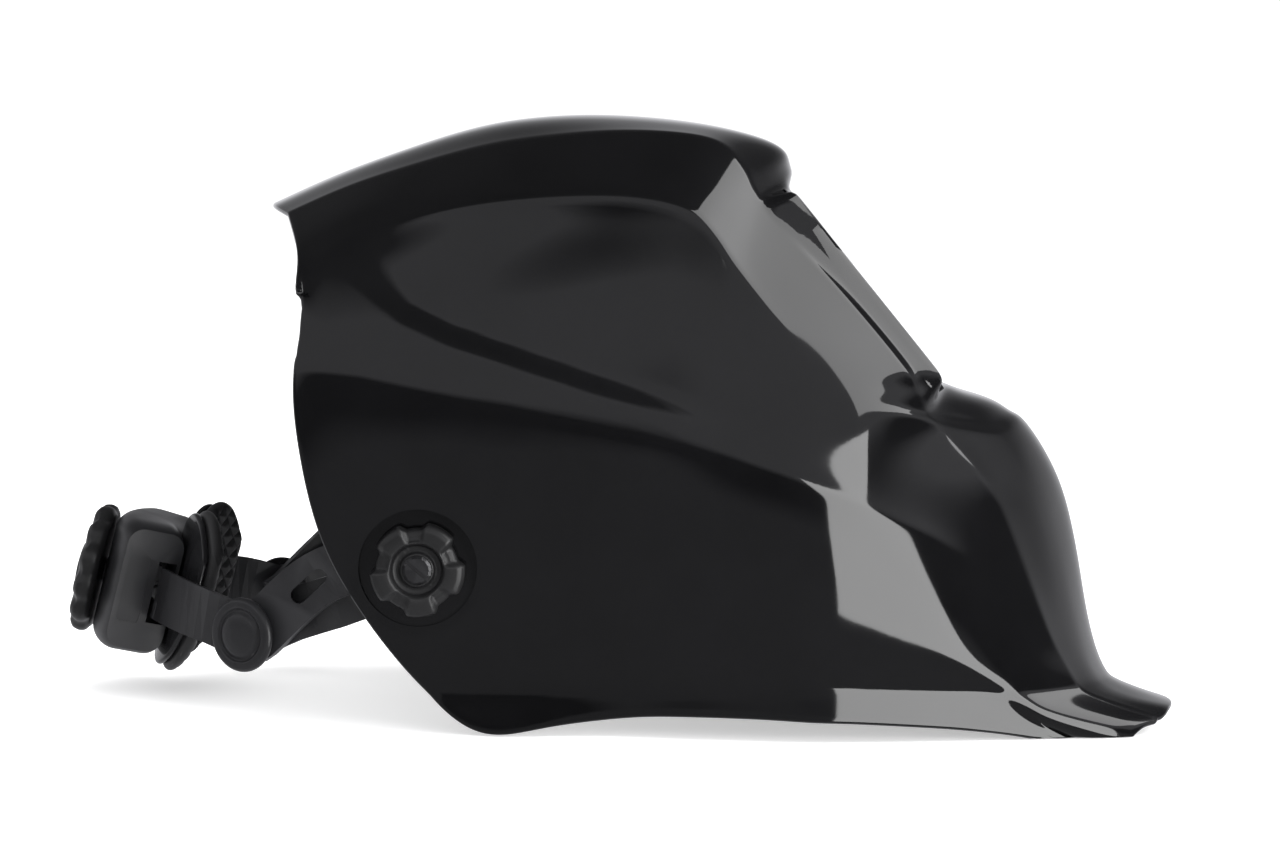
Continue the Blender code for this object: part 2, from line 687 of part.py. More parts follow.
def knob_ridge(angle, row):
    """Finger scallops on the rows of the rim; the dish and the bore stay round."""
    if row > 4:
        return 1.0
    lobe = max(0.0, math.cos(LOBES * (angle - math.radians(85))))
    return 1.0 - 0.16 * lobe**1.5


knob_profile = (
    (KNOB_RADIUS * 0.9, KNOB_LOW), (KNOB_RADIUS, KNOB_LOW + 1.2), (KNOB_RADIUS * 0.98, KNOB_TOP - 3.0),
    (KNOB_RADIUS * 0.93, KNOB_TOP - 1.0), (KNOB_RADIUS * 0.82, KNOB_TOP),
    (KNOB_RADIUS * 0.58, KNOB_TOP),
    (KNOB_RADIUS * 0.5, KNOB_TOP - 3.2), (KNOB_RADIUS * 0.38, KNOB_TOP - 3.4), (3.4, KNOB_TOP - 3.4),
    (3.4, KNOB_LOW),
)
pair(
    "pivot_knob", turned(knob_profile, pivot_frame(), 40, knob_ridge), ((0.03, 0.03, 0.032), 0.6), tilt,
    PIVOT,
)
pair(
    "friction_washer",
    turned(((12.5, GAP), (12.5, GAP + WASHER), (3.5, GAP + WASHER), (3.5, GAP)), pivot_frame(), 20),
    ((0.02, 0.02, 0.02), 0.8), tilt, PIVOT,
)
screws = pair(
    "knob_screw",
    turned(
        ((0, KNOB_TOP - 8), (2.4, KNOB_TOP - 8), (2.4, KNOB_TOP - 3.4 + GAP), (
            5.4, KNOB_TOP - 3.4 + GAP,
        ),
         (5.4, KNOB_TOP - 2.0), (4.4, KNOB_TOP - 1.2), (0, KNOB_TOP - 1.1)),
        pivot_frame(), 16,
    ),
    ((0.35, 0.35, 0.36), 0.35, 1.0), tilt, PIVOT,
)
slot_turn = Matrix.Rotation(math.radians(40), 4, "Z")
cut_pair(
    screws, "screw_slot",
    prism(rounded(16, 1.2, 0.2), KNOB_TOP - 2.0, KNOB_TOP + 4, pivot_frame() @ slot_turn),
)

BOSS_BACK = -3.4
BLOCK_OUT = BOSS_BACK - GAP
BLOCK_IN = BLOCK_OUT - 2.6
ARM_OUT = BLOCK_IN - GAP
ARM_THICK = 3.0
ARM_IN = ARM_OUT - ARM_THICK
SLIDE = 8.0
KEY_LONG = 15.0
KEY_HIGH = 9.0
blocks = pair(
    "pivot_block", prism(circle(13.5, 24), BLOCK_IN, BLOCK_OUT, pivot_frame()),
    ((0.05, 0.05, 0.052), 0.5), tilt, PIVOT,
)
cut_pair(
    blocks, "block_key",
    prism(rounded(KEY_LONG, KEY_HIGH, 4.4), ARM_IN - 0.4, BLOCK_IN + 0.5, pivot_frame()), "UNION",
)
cut_pair(blocks, "block_bore", prism(circle(3.3, 14), -40, 10, pivot_frame()))
pair(
    "pivot_bolt",
    turned(
        ((0, ARM_IN - 3.4), (7.4, ARM_IN - 3.4), (8.4, ARM_IN - 2.4), (8.4, ARM_IN - 0.4 - GAP), (
            3.0, ARM_IN - 0.4 - GAP,
        ),
         (3.0, KNOB_TOP - 8.5), (0, KNOB_TOP - 8.5)),
        pivot_frame(), 16,
    ),
    ((0.55, 0.55, 0.57), 0.35, 1.0), tilt, PIVOT,
)

# --- Headgear frames -----------------------------------------------------------------------------

button_out = Vector((-math.sin(BUTTON_TURN), math.cos(BUTTON_TURN), 0))
HINGE_LINE = fit(BUTTON_X, 0, BUTTON_Z)
HEAD_Y = HEAD_HALF_WIDTH * SY
CENTRE = 56.0 * SX
REAR_REACH = 104.0 * SX
FRONT_REACH = 106.0 * SX
button_y = HEAD_Y * math.sqrt(1 - (CENTRE / REAR_REACH) ** 2)
BUTTON = Vector((HINGE_LINE.x, button_y, HINGE_LINE.z))  # on the head side of the stack
rear_along = Vector((math.cos(REAR_SLOPE), 0, -math.sin(REAR_SLOPE)))
rear_up = Vector((math.sin(REAR_SLOPE), 0, math.cos(REAR_SLOPE)))
front_along = Vector((math.cos(FRONT_SLOPE), 0, math.sin(FRONT_SLOPE)))
front_up = Vector((-math.sin(FRONT_SLOPE), 0, math.cos(FRONT_SLOPE)))
swivel = axis_empty("swivel_axis", HINGE_LINE, tilt)

BAND_OUT = 2.0
ARM_LOW = BAND_OUT + GAP
ARM_HIGH = ARM_LOW + ARM_THICK
STRAP_LOW = ARM_HIGH + 0.8
STRAP_HIGH = STRAP_LOW + STRAP_THICK
BUTTON_LOW = STRAP_HIGH + 0.8
BUTTON_TOP = BUTTON_LOW + 3.6
PLATE_RADIUS = STRAP_WIDTH / 2 + 1.0


def button_frame(up):
    return frame_of(BUTTON, button_out, up)


def curve(knots, steps):
    net = np.array([tuple(k) for k in knots])
    found = weights(np.linspace(0, len(net) - 1, steps), len(net)) @ net
    return [Vector(p) for p in found]


def ring_point(along, up, reach, angle, out=0.0, high=0.0):
    """A point on the head oval: angle 0 is straight ahead, 180 straight behind."""
    a = math.cos(angle) * reach
    y = math.sin(angle) * HEAD_Y
    normal = Vector((a / reach**2, y / HEAD_Y**2, 0)).normalized()
    spot = HINGE_LINE + along * (CENTRE + a + normal.x * out) + up * high
    return spot + Vector((0, y + normal.y * out, 0))


def settling_ups(up, path):
    """Up directions that lie in the button's plane near it, and turn to up further along."""
    level = up - button_out * up.dot(button_out)
    return [level.lerp(up, float(smooth((p - BUTTON).length, 16, 40))) for p in path]


def bridge(first, leaving, last, arriving, steps):
    """Points between two ends that leave and arrive along the directions given."""
    reach = (last - first).length
    found = []
    for i in range(1, steps):
        t = i / steps
        a = 2 * t**3 - 3 * t**2 + 1
        b = (t**3 - 2 * t**2 + t) * reach
        c = (t**3 - t**2) * reach
        found.append(first * a + leaving * b + last * (1 - a) + arriving * c)
    return found


# Front band: one strip from button to button round the forehead.
FRONT_HALF_HEIGHT = 11.0
start = BUTTON + button_out * BAND_OUT / 2
t_front = (front_along - button_out * front_along.dot(button_out)).normalized()
half_path = [start + t_front * a for a in (-9, 0, 10)]
ring = [
    ring_point(front_along, front_up, FRONT_REACH, math.radians(a), BAND_OUT / 2)
    for a in (98, 86, 74, 62, 50, 38, 25, 12, 0)
]
half_path += bridge(half_path[-1], t_front, ring[0], (ring[1] - ring[0]).normalized(), 4)
half_path += ring
half_ups = settling_ups(front_up, half_path)
full_path = half_path + [Vector((p.x, -p.y, p.z)) for p in reversed(half_path[:-1])]
full_ups = half_ups + [Vector((u.x, -u.y, u.z)) for u in reversed(half_ups[:-1])]
front_band = put(
    "front_band",
    *swept(full_path, full_ups, -1.0, 1.0, -FRONT_HALF_HEIGHT + 1, FRONT_HALF_HEIGHT - 1),
    ((0.03, 0.03, 0.033), 0.5), tilt, (PIVOT_X, 0, PIVOT_Z),
)
for side, turn in (("L", 1), ("R", -1)):
    out = Vector((button_out.x, turn * button_out.y, 0))
    frame = frame_of((BUTTON.x, turn * BUTTON.y, BUTTON.z), out, (0, 0, 1))
    cut_one(front_band, f"band_hole_{side}", prism(circle(4.5, 14), -6, 5, frame))

# Sweatband: soft pad inside the forehead.
pad_path = [
    ring_point(front_along, front_up, FRONT_REACH, math.radians(a), BAND_OUT / 2)
    for a in range(66, -67, -11)
]
put(
    "sweatband", *swept(pad_path, [front_up] * len(pad_path), 1.0 + GAP + 0.9, 8.5, -15, 15, 2.0),
    ((0.05, 0.05, 0.055), 0.9), tilt, (PIVOT_X, 0, PIVOT_Z),
)

# Side arms: plates that run from the buttons up to the pivots and bow out to the shell.
ARM_HALF = STRAP_WIDTH / 2
arm_root = BUTTON + button_out * (ARM_LOW + ARM_HIGH) / 2
arm_y = SEAT + (ARM_OUT + ARM_IN) / 2
centre_line = [
    (BUTTON_X - 9, 37.5), (BUTTON_X, BUTTON_Z), (-136, 54), (-125, 64), (-113, 70.5), (-100, 72.2),
    (PIVOT_X, PIVOT_Z), (PIVOT_X + 14, PIVOT_Z), (PIVOT_X + 26, PIVOT_Z),
]
centre_line = [fit(x, 0, z) for x, z in centre_line]
centre_line = curve(centre_line, 25)


def arm_height(x):
    """The y of the arm's middle: in the plane of the button first, then flat at the pivot."""
    slope = math.tan(BUTTON_TURN)
    line = arm_root.y + (x - arm_root.x) * slope
    bend = 4.0
    gap = arm_y - line
    if gap > bend:
        return line
    if gap < -bend:
        return arm_y
    return arm_y - (gap + bend) ** 2 / (4 * bend)


arm_points = []
arm_faces = []
COLS = 3
for i, spot in enumerate(centre_line):
    ahead = centre_line[min(i + 1, len(centre_line) - 1)]
    behind = centre_line[max(i - 1, 0)]
    along = (ahead - behind).normalized()
    across = Vector((-along.z, 0, along.x))
    from_start = (spot - centre_line[0]).length
    from_end = (centre_line[-1] - spot).length
    half = ARM_HALF * math.sqrt(max(0.08, min(1.0, 1 - (1 - min(from_start, 9) / 9) ** 2)))
    half = min(half, ARM_HALF * math.sqrt(max(0.08, 1 - (1 - min(from_end, 10) / 10) ** 2)))
    for layer in (-0.5, 0.5):
        for j in range(COLS):
            place = spot + across * half * (2 * j / (COLS - 1) - 1)
            slope = (arm_height(place.x + 0.5) - arm_height(place.x - 0.5)) / 1.0
            tilt_by = math.sqrt(1 + slope * slope)
            y = arm_height(place.x)
            normal = Vector((-slope / tilt_by, 1 / tilt_by, 0))
            mid = Vector((place.x, y, place.z))
            arm_points.append(mid + normal * layer * ARM_THICK)
ROW = 2 * COLS
for i in range(len(centre_line) - 1):
    for j in range(COLS - 1):
        a, b = i * ROW + j, i * ROW + j + 1
        arm_faces.append((a, b, b + ROW, a + ROW))
        arm_faces.append((a + COLS, a + COLS + ROW, b + COLS + ROW, b + COLS))
    for j in (0, COLS - 1):
        a = i * ROW + j
        arm_faces.append((a, a + ROW, a + ROW + COLS, a + COLS))
for i in (0, len(centre_line) - 1):
    for j in range(COLS - 1):
        a = i * ROW + j
        arm_faces.append((a, a + COLS, a + COLS + 1, a + 1))
arms = pair(
    "side_arm", (arm_points, arm_faces), ((0.03, 0.03, 0.033), 0.5), tilt, (PIVOT_X, arm_y, PIVOT_Z),
)
SLOT_LEAN = math.radians(47)
slot_mid = fit(-125.5, 0, 63.5)
slot_up = (math.sin(SLOT_LEAN), 0, math.cos(SLOT_LEAN))
slot_frame = frame_of((slot_mid.x, 0, slot_mid.z), (0, 1, 0), slot_up)
cut_pair(arms, "height_slot", prism(rounded(6, 17, 2.9), 40, 140, slot_frame))
slide_frame = frame_of((PIVOT_X, 0, PIVOT_Z), (0, 1, 0), (0, 0, 1))
cut_pair(
    arms, "slide_slot",
    prism(rounded(KEY_LONG + 2 * SLIDE + 1.0, KEY_HIGH + 0.6, 4.7), 40, 140, slide_frame),
)
cut_pair(arms, "arm_hole", prism(circle(4.5, 14), -20, 20, button_frame((0, 0, 1))))

# Round buttons that join arm, band and strap.
pair(
    "pivot_button",
    turned(
        ((0, -4.4), (6.6, -4.4), (7.0, -1.4), (4.0, -1.4), (4.0, BUTTON_LOW), (
            BUTTON_RADIUS, BUTTON_LOW,
        ),
         (BUTTON_RADIUS, BUTTON_LOW + 1.6), (BUTTON_RADIUS - 1.2, BUTTON_TOP - 0.8),
         (9.6, BUTTON_TOP - 0.6),
         (9.0, BUTTON_TOP - 1.4), (8.4, BUTTON_TOP - 0.4), (4.5, BUTTON_TOP + 0.5), (0, BUTTON_TOP + 0.8)),
        button_frame((0, 0, 1)), 20,
    ),
    ((0.03, 0.03, 0.033), 0.4), tilt, BUTTON,
)

# Crown straps over the head.
CROWN_HALF = 8.0
CROWN_REAR = 66.0
CROWN_FRONT = 88.0
CROWN_THICK = 1.8


def crown_path(base_along, lean, rise, start_angle, end_angle, steps, out=0.0):
    foot = HINGE_LINE + front_along * base_along
    up = Vector((-math.sin(lean), 0, math.cos(lean)))
    cosine = (max(base_along - CROWN_HALF, CENTRE) - CENTRE) / FRONT_REACH
    half = HEAD_Y * math.sqrt(1 - cosine**2) + BAND_OUT + GAP + 1.9
    found = []
    for i in range(steps):
        angle = start_angle + (end_angle - start_angle) * i / (steps - 1)
        found.append(
            foot + Vector((0, math.cos(angle) * (half + out), 0)) + up * (
                math.sin(angle) * (rise + out)
            )
        )
    return found, [up.cross(Vector((0, 1, 0)))] * steps


RISE = 106.0 * SZ
REAR_LEAN = math.radians(15)
for side, turn in (("L", 1), ("R", -1)):
    lift = 0.0 if side == "L" else STRAP_THICK + GAP
    path, ups = crown_path(CROWN_REAR * SX, REAR_LEAN, RISE, math.radians(-5), math.radians(112), 15)
    path_r, ups_r = crown_path(
        CROWN_REAR * SX, REAR_LEAN, RISE, math.radians(185), math.radians(68), 15,
    )
    if side == "R":
        path, ups = path_r, [-u for u in ups_r]
        centre = HINGE_LINE + front_along * CROWN_REAR * SX
        path = [p + (p - centre).normalized() * lift * min(1, i / 6) for i, p in enumerate(path)]
    strap = put(
        f"crown_strap_{side}",
        *swept(path, ups, -CROWN_THICK / 2, CROWN_THICK / 2, -CROWN_HALF, CROWN_HALF),
        ((0.03, 0.03, 0.033), 0.5), tilt, (PIVOT_X, 0, PIVOT_Z),
    )
foot = HINGE_LINE + front_along * CROWN_REAR * SX
crown_up = Vector((-math.sin(REAR_LEAN), 0, math.cos(REAR_LEAN)))
peg_spot = foot + crown_up * RISE
peg_frame = frame_of(peg_spot, crown_up, (0, 1, 0))
for side in ("L", "R"):
    cut_one(
        bpy.data.objects[f"crown_strap_{side}"], f"peg_hole_{side}",
        prism(circle(2.8, 12), -12, 12, peg_frame),
    )
put(
    "crown_peg",
    *turned(
        (
            (0, -2.4), (4.4, -2.4), (4.4, -1.3), (2.4, -1.3), (2.4, 3.9), (6.0, 3.9), (6.0, 4.8),
            (4.6, 5.5), (0, 5.6),
        ),
        peg_frame, 14,
    ),
    ((0.04, 0.04, 0.043), 0.5), tilt, peg_spot,
)
path, ups = crown_path(
    CROWN_FRONT * SX, math.radians(0), RISE * 0.97, math.radians(-5), math.radians(185), 23,
)
put(
    "crown_strap_front", *swept(path, ups, -CROWN_THICK / 2, CROWN_THICK / 2, -CROWN_HALF, CROWN_HALF),
    ((0.03, 0.03, 0.033), 0.5), tilt, (PIVOT_X, 0, PIVOT_Z),
)

# --- Rear straps, ratchet and pad ----------------------------------------------------------------

strap_start = BUTTON + button_out * (STRAP_LOW + STRAP_HIGH) / 2
t_rear = (rear_along - button_out * rear_along.dot(button_out)).normalized()


def rear_point(angle, out=0.0, high=0.0):
    return ring_point(rear_along, rear_up, REAR_REACH, math.radians(angle), out, high)


RACK_HALF = 3.2
RACK_AT = 6.6
STRAP_OUT = 3.2  # middle of the rear straps outside the head oval
HOUSING_ANGLE = 21.0
HOUSING_IN = -7.5
HOUSING_OUT = 18.0
HOUSING_HALF = STRAP_WIDTH / 2 + 16.0
HOUSING_WALL = 2.2
for side, turn, lift in (("L", 1, RACK_AT), ("R", -1, -RACK_AT)):
    path = [strap_start + t_rear * a for a in (6, 0, -8, -15)]
    ring = [rear_point(a, STRAP_OUT) for a in (147, 153, 159)]
    path += bridge(path[-1], -t_rear, ring[0], (ring[1] - ring[0]).normalized(), 5) + ring
    ups = settling_ups(rear_up, path)
    shape = swept(path, ups, -1.0, 1.0, -STRAP_WIDTH / 2, STRAP_WIDTH / 2)
    tail = [rear_point(a, STRAP_OUT, lift) for a in np.linspace(157, 197, 9)]
    tail_shape = swept(tail, [rear_up] * len(tail), -0.99, 0.99, -RACK_HALF, RACK_HALF)
    hole = prism(circle(4.5, 14), -20, 30, button_frame((0, 0, 1)))
    disc = prism(circle(PLATE_RADIUS, 20), STRAP_LOW, STRAP_HIGH, button_frame((0, 0, 1)))
    if side == "R":
        shape, tail_shape = mirrored(*shape), mirrored(*tail_shape)
        hole, disc = mirrored(*hole), mirrored(*disc)
    strap = put(
        f"rear_strap_{side}", *shape, ((0.03, 0.03, 0.033), 0.5), swivel,
        (HINGE_LINE.x, 0, HINGE_LINE.z),
    )
    cut_one(strap, f"strap_end_{side}", disc, "UNION")
    cut_one(strap, f"strap_tail_{side}", tail_shape, "UNION")
    cut_one(strap, f"strap_hole_{side}", hole)

house_angles = np.linspace(180 - HOUSING_ANGLE, 180 + HOUSING_ANGLE, 11)
house_path = [rear_point(a, STRAP_OUT) for a in house_angles]
house_ups = [rear_up] * len(house_path)
housing = put(
    "ratchet_housing",
    *swept(house_path, house_ups, HOUSING_IN, HOUSING_OUT, -HOUSING_HALF, HOUSING_HALF, 4.5),
    ((0.035, 0.035, 0.038), 0.45), swivel, rear_point(180),
)
hollow_angles = np.linspace(180 - HOUSING_ANGLE - 8, 180 + HOUSING_ANGLE + 8, 15)
hollow_path = [rear_point(a, STRAP_OUT) for a in hollow_angles]
hollow_half = STRAP_WIDTH / 2 + HOUSING_WALL
cut_one(
    housing, "housing_hollow",
    swept(hollow_path, [rear_up] * len(hollow_path), -5.0, 2.4, -hollow_half, hollow_half),
)
cavity_path = house_path[2:-2]
cavity_half = HOUSING_HALF - HOUSING_WALL
cut_one(
    housing, "housing_cavity",
    swept(
        cavity_path, [rear_up] * len(cavity_path), 2.0, HOUSING_OUT - HOUSING_WALL,
        -cavity_half, cavity_half, 3.0,
    ),
)

ratchet_spot = rear_point(180, STRAP_OUT)
knob_out = -rear_along
ratchet = axis_empty("ratchet_axis", ratchet_spot, swivel)
ratchet_frame = frame_of(ratchet_spot, knob_out, rear_up)
cut_one(housing, "shaft_hole", prism(circle(5.2, 18), 0, HOUSING_OUT + 5, ratchet_frame))
KNOB_FACE = HOUSING_OUT + 0.5
SHAFT_END = KNOB_FACE + 0.9
put(
    "ratchet_pinion",
    *turned(
        ((0, -1.6), (2.5, -1.6), (2.5, 4.4), (4.6, 4.4), (4.6, SHAFT_END), (0, SHAFT_END)),
        ratchet_frame, 20,
    ),
    ((0.1, 0.1, 0.105), 0.5), ratchet, ratchet_spot,
)


def ratchet_ridge(angle, row):
    if row in (0, 7):
        return 1.0
    return 1.0 - 0.045 * (0.5 + 0.5 * math.cos(12 * angle)) ** 2 * (1.0 if row > 1 else 0.4)


RATCHET_THICK = 8.4
knob_back = KNOB_FACE + RATCHET_THICK
put(
    "ratchet_knob",
    *turned(
        (
            (5.2, KNOB_FACE), (RATCHET_RADIUS * 0.9, KNOB_FACE),
            (RATCHET_RADIUS * 0.98, KNOB_FACE + 1.6),
            (RATCHET_RADIUS, KNOB_FACE + RATCHET_THICK * 0.5), (RATCHET_RADIUS * 0.96, knob_back - 1.6),
            (RATCHET_RADIUS * 0.86, knob_back), (RATCHET_RADIUS * 0.55, knob_back), (5.2, knob_back),
        ),
        ratchet_frame, 48, ratchet_ridge,
    ),
    ((0.03, 0.03, 0.032), 0.55), ratchet, ratchet_spot,
)
cap_foot = knob_back + GAP
put(
    "ratchet_cap",
    *turned(
        (
            (0, SHAFT_END + 0.4), (4.8, SHAFT_END + 0.4), (4.8, cap_foot), (9.5, cap_foot),
            (9.5, cap_foot + 0.8), (8.5, cap_foot + 1.4), (0, cap_foot + 1.8),
        ),
        ratchet_frame, 20,
    ),
    ((0.05, 0.05, 0.053), 0.45), ratchet, ratchet_spot,
)


PAD_ANGLE = 31.0


def butterfly(reach_deg, top, bottom, low, high, columns=19, rows=6):
    """A curved plate behind the head whose two wings are taller than its waist."""
    points = []
    for layer in (low, high):
        for i in range(columns):
            f = 2 * i / (columns - 1) - 1
            wing = math.sin(math.pi * min(1.0, abs(f) * 0.86)) ** 1.2
            end = math.sqrt(max(0.0, 1 - max(0.0, (abs(f) - 0.72) / 0.28) ** 2))
            mid = (top - bottom) * 0.12
            high_edge = mid + (0.42 + 0.58 * wing) * (top - mid) * (0.45 + 0.55 * end)
            low_edge = mid + (0.55 + 0.45 * wing) * (bottom - mid) * (0.3 + 0.7 * end) * (
                1 - 0.35 * abs(f)
            )
            for j in range(rows):
                h = low_edge + (high_edge - low_edge) * j / (rows - 1)
                points.append(
                    ring_point(
                        rear_along, rear_up, REAR_REACH, math.radians(180 + reach_deg * f), layer, h,
                    )
                )
    faces = []
    size = columns * rows
    for i in range(columns - 1):
        for j in range(rows - 1):
            a = i * rows + j
            faces.append((a, a + 1, a + rows + 1, a + rows))
            faces.append((size + a, size + a + rows, size + a + rows + 1, size + a + 1))
        for j in (0, rows - 1):
            a = i * rows + j
            faces.append((a, a + rows, a + rows + size, a + size))
    for i in (0, columns - 1):
        for j in range(rows - 1):
            a = i * rows + j
            faces.append((a, a + size, a + size + 1, a + 1))
    return points, faces


put(
    "rear_pad_shell", *butterfly(PAD_ANGLE, 33, -37, -7.4, -4.7), ((0.03, 0.03, 0.032), 0.25), swivel,
    rear_point(180),
)
put(
    "rear_pad", *butterfly(PAD_ANGLE + 2, 35, -39, -14.0, -7.8), ((0.05, 0.05, 0.052), 0.85), swivel,
    rear_point(180),
)

# --- Stand the helmet on the floor, with its middle over the origin ---------------------------------

REST.rotation_euler = (0, -REST_LEAN, 0)
bpy.context.view_layer.update()
graph = bpy.context.evaluated_depsgraph_get()
low_x, high_x = math.inf, -math.inf
for item in bpy.context.scene.objects:
    if item.type != "MESH" or item.hide_render:
        continue
    shape = item.evaluated_get(graph).to_mesh()
    world = item.matrix_world
    for vertex in shape.vertices:
        x = (world @ vertex.co).x
        low_x, high_x = min(low_x, x), max(high_x, x)
REST.location = (-(low_x + high_x) / 2, 0, -FLOOR_Z * MM)
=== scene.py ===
"""Looks of the welding helmet: glossy moulded shell, matte headgear, soft pads, studio light.

Shapes are made in the same leant design frame as the CAD, in millimetres, and to_world() puts
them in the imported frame. +X is the face of the helmet, +Y the wearer's left, +Z up.
"""

import math

import bmesh
import bpy
import numpy as np
from mathutils import Matrix, Vector


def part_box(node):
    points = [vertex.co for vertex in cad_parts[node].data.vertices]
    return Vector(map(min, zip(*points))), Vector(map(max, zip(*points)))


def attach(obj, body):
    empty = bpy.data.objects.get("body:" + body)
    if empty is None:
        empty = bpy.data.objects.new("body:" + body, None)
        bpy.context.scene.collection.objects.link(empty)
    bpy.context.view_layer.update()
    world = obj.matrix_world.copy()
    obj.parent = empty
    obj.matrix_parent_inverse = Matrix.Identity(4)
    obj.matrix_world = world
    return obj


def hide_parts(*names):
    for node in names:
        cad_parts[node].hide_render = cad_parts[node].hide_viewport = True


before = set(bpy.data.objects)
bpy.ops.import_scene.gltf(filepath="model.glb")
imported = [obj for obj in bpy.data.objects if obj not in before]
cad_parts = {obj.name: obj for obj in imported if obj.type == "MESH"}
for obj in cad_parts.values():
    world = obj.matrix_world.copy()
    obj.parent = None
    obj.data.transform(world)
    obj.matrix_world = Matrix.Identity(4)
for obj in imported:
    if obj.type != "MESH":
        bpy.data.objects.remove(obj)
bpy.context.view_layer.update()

MM = 0.001
REST_LEAN = math.radians(2.2)
FLOOR_Z = 6.8
PIVOT = Vector((-84.0, 0.0, 72.0))
WALL = 2.5
WINDOW_MIDDLE = (85.5, 174.5)
WINDOW_LEAN = math.radians(38.9)
BUTTON = Vector((-146.0, 67.4, 44.0))
BUTTON_TURN = math.radians(33.0)
REAR_SLOPE = math.radians(14.0)
FRONT_SLOPE = math.radians(22.7)
HEAD_Y = 80.0
CENTRE = 56.0
REAR_REACH = 104.0
FRONT_REACH = 106.0

# Sections of the shell from the middle (first point) round to the rim (last point).
SECTIONS = (
    (
        (-146, 0, 206), (-143, 28, 205), (-136, 52, 202),
        (-130, 78, 190), (-127.5, 92, 179), (-125.5, 98, 168),
    ),
    (
        (-121.6, 0, 217), (-119, 29, 216), (-113, 55, 212),
        (-115, 84, 194), (-122, 97, 169), (-128, 103, 146),
    ),
    (
        (-98, 0, 225.7), (-96, 30, 224.6), (-90, 57, 219.5),
        (-100, 87, 197), (-114, 103, 158), (-127.5, 107, 122),
    ),
    ((-70, 0, 235), (-69, 30, 233), (-63, 58, 227), (-79, 89, 203), (-98, 107, 145), (-120, 107, 84)),
    ((-46, 0, 239.7), (-46, 31, 237.4), (-42, 59, 230.5), (-56, 91, 207), (-78, 109, 132), (-105, 104, 54)),
    ((-18, 0, 241.3), (-18, 31, 239), (-14, 60, 233), (-28, 92, 209), (-55, 109, 122), (-84, 99, 26)),
    ((12.4, 0, 239.3), (12, 31, 237.5), (10, 61, 232.5), (-3, 91, 208), (-32, 109, 115), (-63, 92, 8.6)),
    ((38, 0, 234.6), (36, 31, 233.5), (28, 62, 229), (16, 90, 203), (-10, 108, 110), (-35, 90, 11.5)),
    ((55, 0, 227.5), (54, 32, 226), (38, 64, 218), (27, 89, 192), (8, 106, 104), (-6, 87, 13.6)),
    ((60.4, 0, 214), (58, 32, 213), (46, 66, 203), (37, 88, 177), (26, 104, 97), (18, 89, 13.9)),
    ((85, 0, 175), (85, 32, 175), (75, 69, 172), (58, 89, 149), (48, 102, 86), (44, 87, 13)),
    ((114, 0, 139), (114, 32, 139), (103, 69, 138), (78, 89, 124), (66, 98, 74), (62, 86, 12)),
    ((145, 0, 128.5), (137, 31, 127), (110, 64, 122), (90, 85, 106), (80, 93, 64), (78, 82, 11.2)),
    ((164.8, 0, 101.7), (154, 28, 101), (131, 57, 99), (107, 77, 89), (98, 86, 54), (100, 75, 9.3)),
    ((173.2, 0, 73.7), (163.5, 26, 73.5), (144, 51, 72), (124, 70, 66), (115, 78, 41), (122, 66, 7)),
    ((178.8, 0, 40.9), (171, 25, 41), (156, 47, 41), (138, 63, 40), (131, 69, 26), (143, 55.5, 4.6)),
    ((186, 0, 19.7), (179, 24, 20), (165, 45, 24), (149, 58, 24), (144, 62, 16), (160, 47.5, 2.2)),
    ((197.6, 0, 9.5), (190, 23, 10), (174, 41, 14), (159, 52, 14), (156, 55, 9), (174, 40, 0.4)),
    ((209, 0, 2.5), (205, 19, 2.2), (198, 29, 1.0), (192, 35, -0.2), (188, 38, -0.9), (186, 39, -1.2)),
)


def pivot_in_world():
    low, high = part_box("friction_washer_L")
    return Vector(((low[0] + high[0]) / 2, 0, (low[2] + high[2]) / 2))


TO_WORLD = (
    Matrix.Translation(pivot_in_world())
    @ Matrix.Rotation(-REST_LEAN, 4, "Y")
    @ Matrix.Scale(MM, 4)
    @ Matrix.Translation(-PIVOT)
)


# --- Mesh helpers ---------------------------------------------------------------------------


def add_mesh(name, points, faces, look=None, angle=35.0, mirror=False):
    """A mesh object from design points, smooth except along edges sharper than angle."""
    points = np.array([tuple(p) for p in points], float)
    if mirror:
        points[:, 1] *= -1
        faces = [tuple(reversed(face)) for face in faces]
    matrix = np.array(TO_WORLD)
    points = points @ matrix[:3, :3].T + matrix[:3, 3]
    mesh = bpy.data.meshes.new(name)
    mesh.from_pydata(points.tolist(), [], faces)
    made = bpy.data.objects.new(name, mesh)
    bpy.context.scene.collection.objects.link(made)
    tidy_mesh(made, angle)
    if look:
        mesh.materials.append(look)
    return made


def tidy_mesh(made, angle=35.0):
    work = bmesh.new()
    work.from_mesh(made.data)
    bmesh.ops.remove_doubles(work, verts=work.verts, dist=2e-6)
    bmesh.ops.recalc_face_normals(work, faces=work.faces)
    work.to_mesh(made.data)
    work.free()
    made.data.shade_smooth()
    made.data.set_sharp_from_angle(angle=math.radians(angle))


def apply_modifiers(item):
    graph = bpy.context.evaluated_depsgraph_get()
    mesh = bpy.data.meshes.new_from_object(item.evaluated_get(graph))
    item.modifiers.clear()
    item.data = mesh


def boolean(item, other, operation):
    """Joins other to item or cuts it from item, and removes it."""
    step = item.modifiers.new(operation, "BOOLEAN")
    step.operation = operation
    step.solver = "MANIFOLD"
    step.object = other
    apply_modifiers(item)
    bpy.data.objects.remove(other, do_unlink=True)


def finish(item, body, replaced):
    """Puts a piece on its body, in place of the CAD node that it shows."""
    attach(item, body)
    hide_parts(replaced)


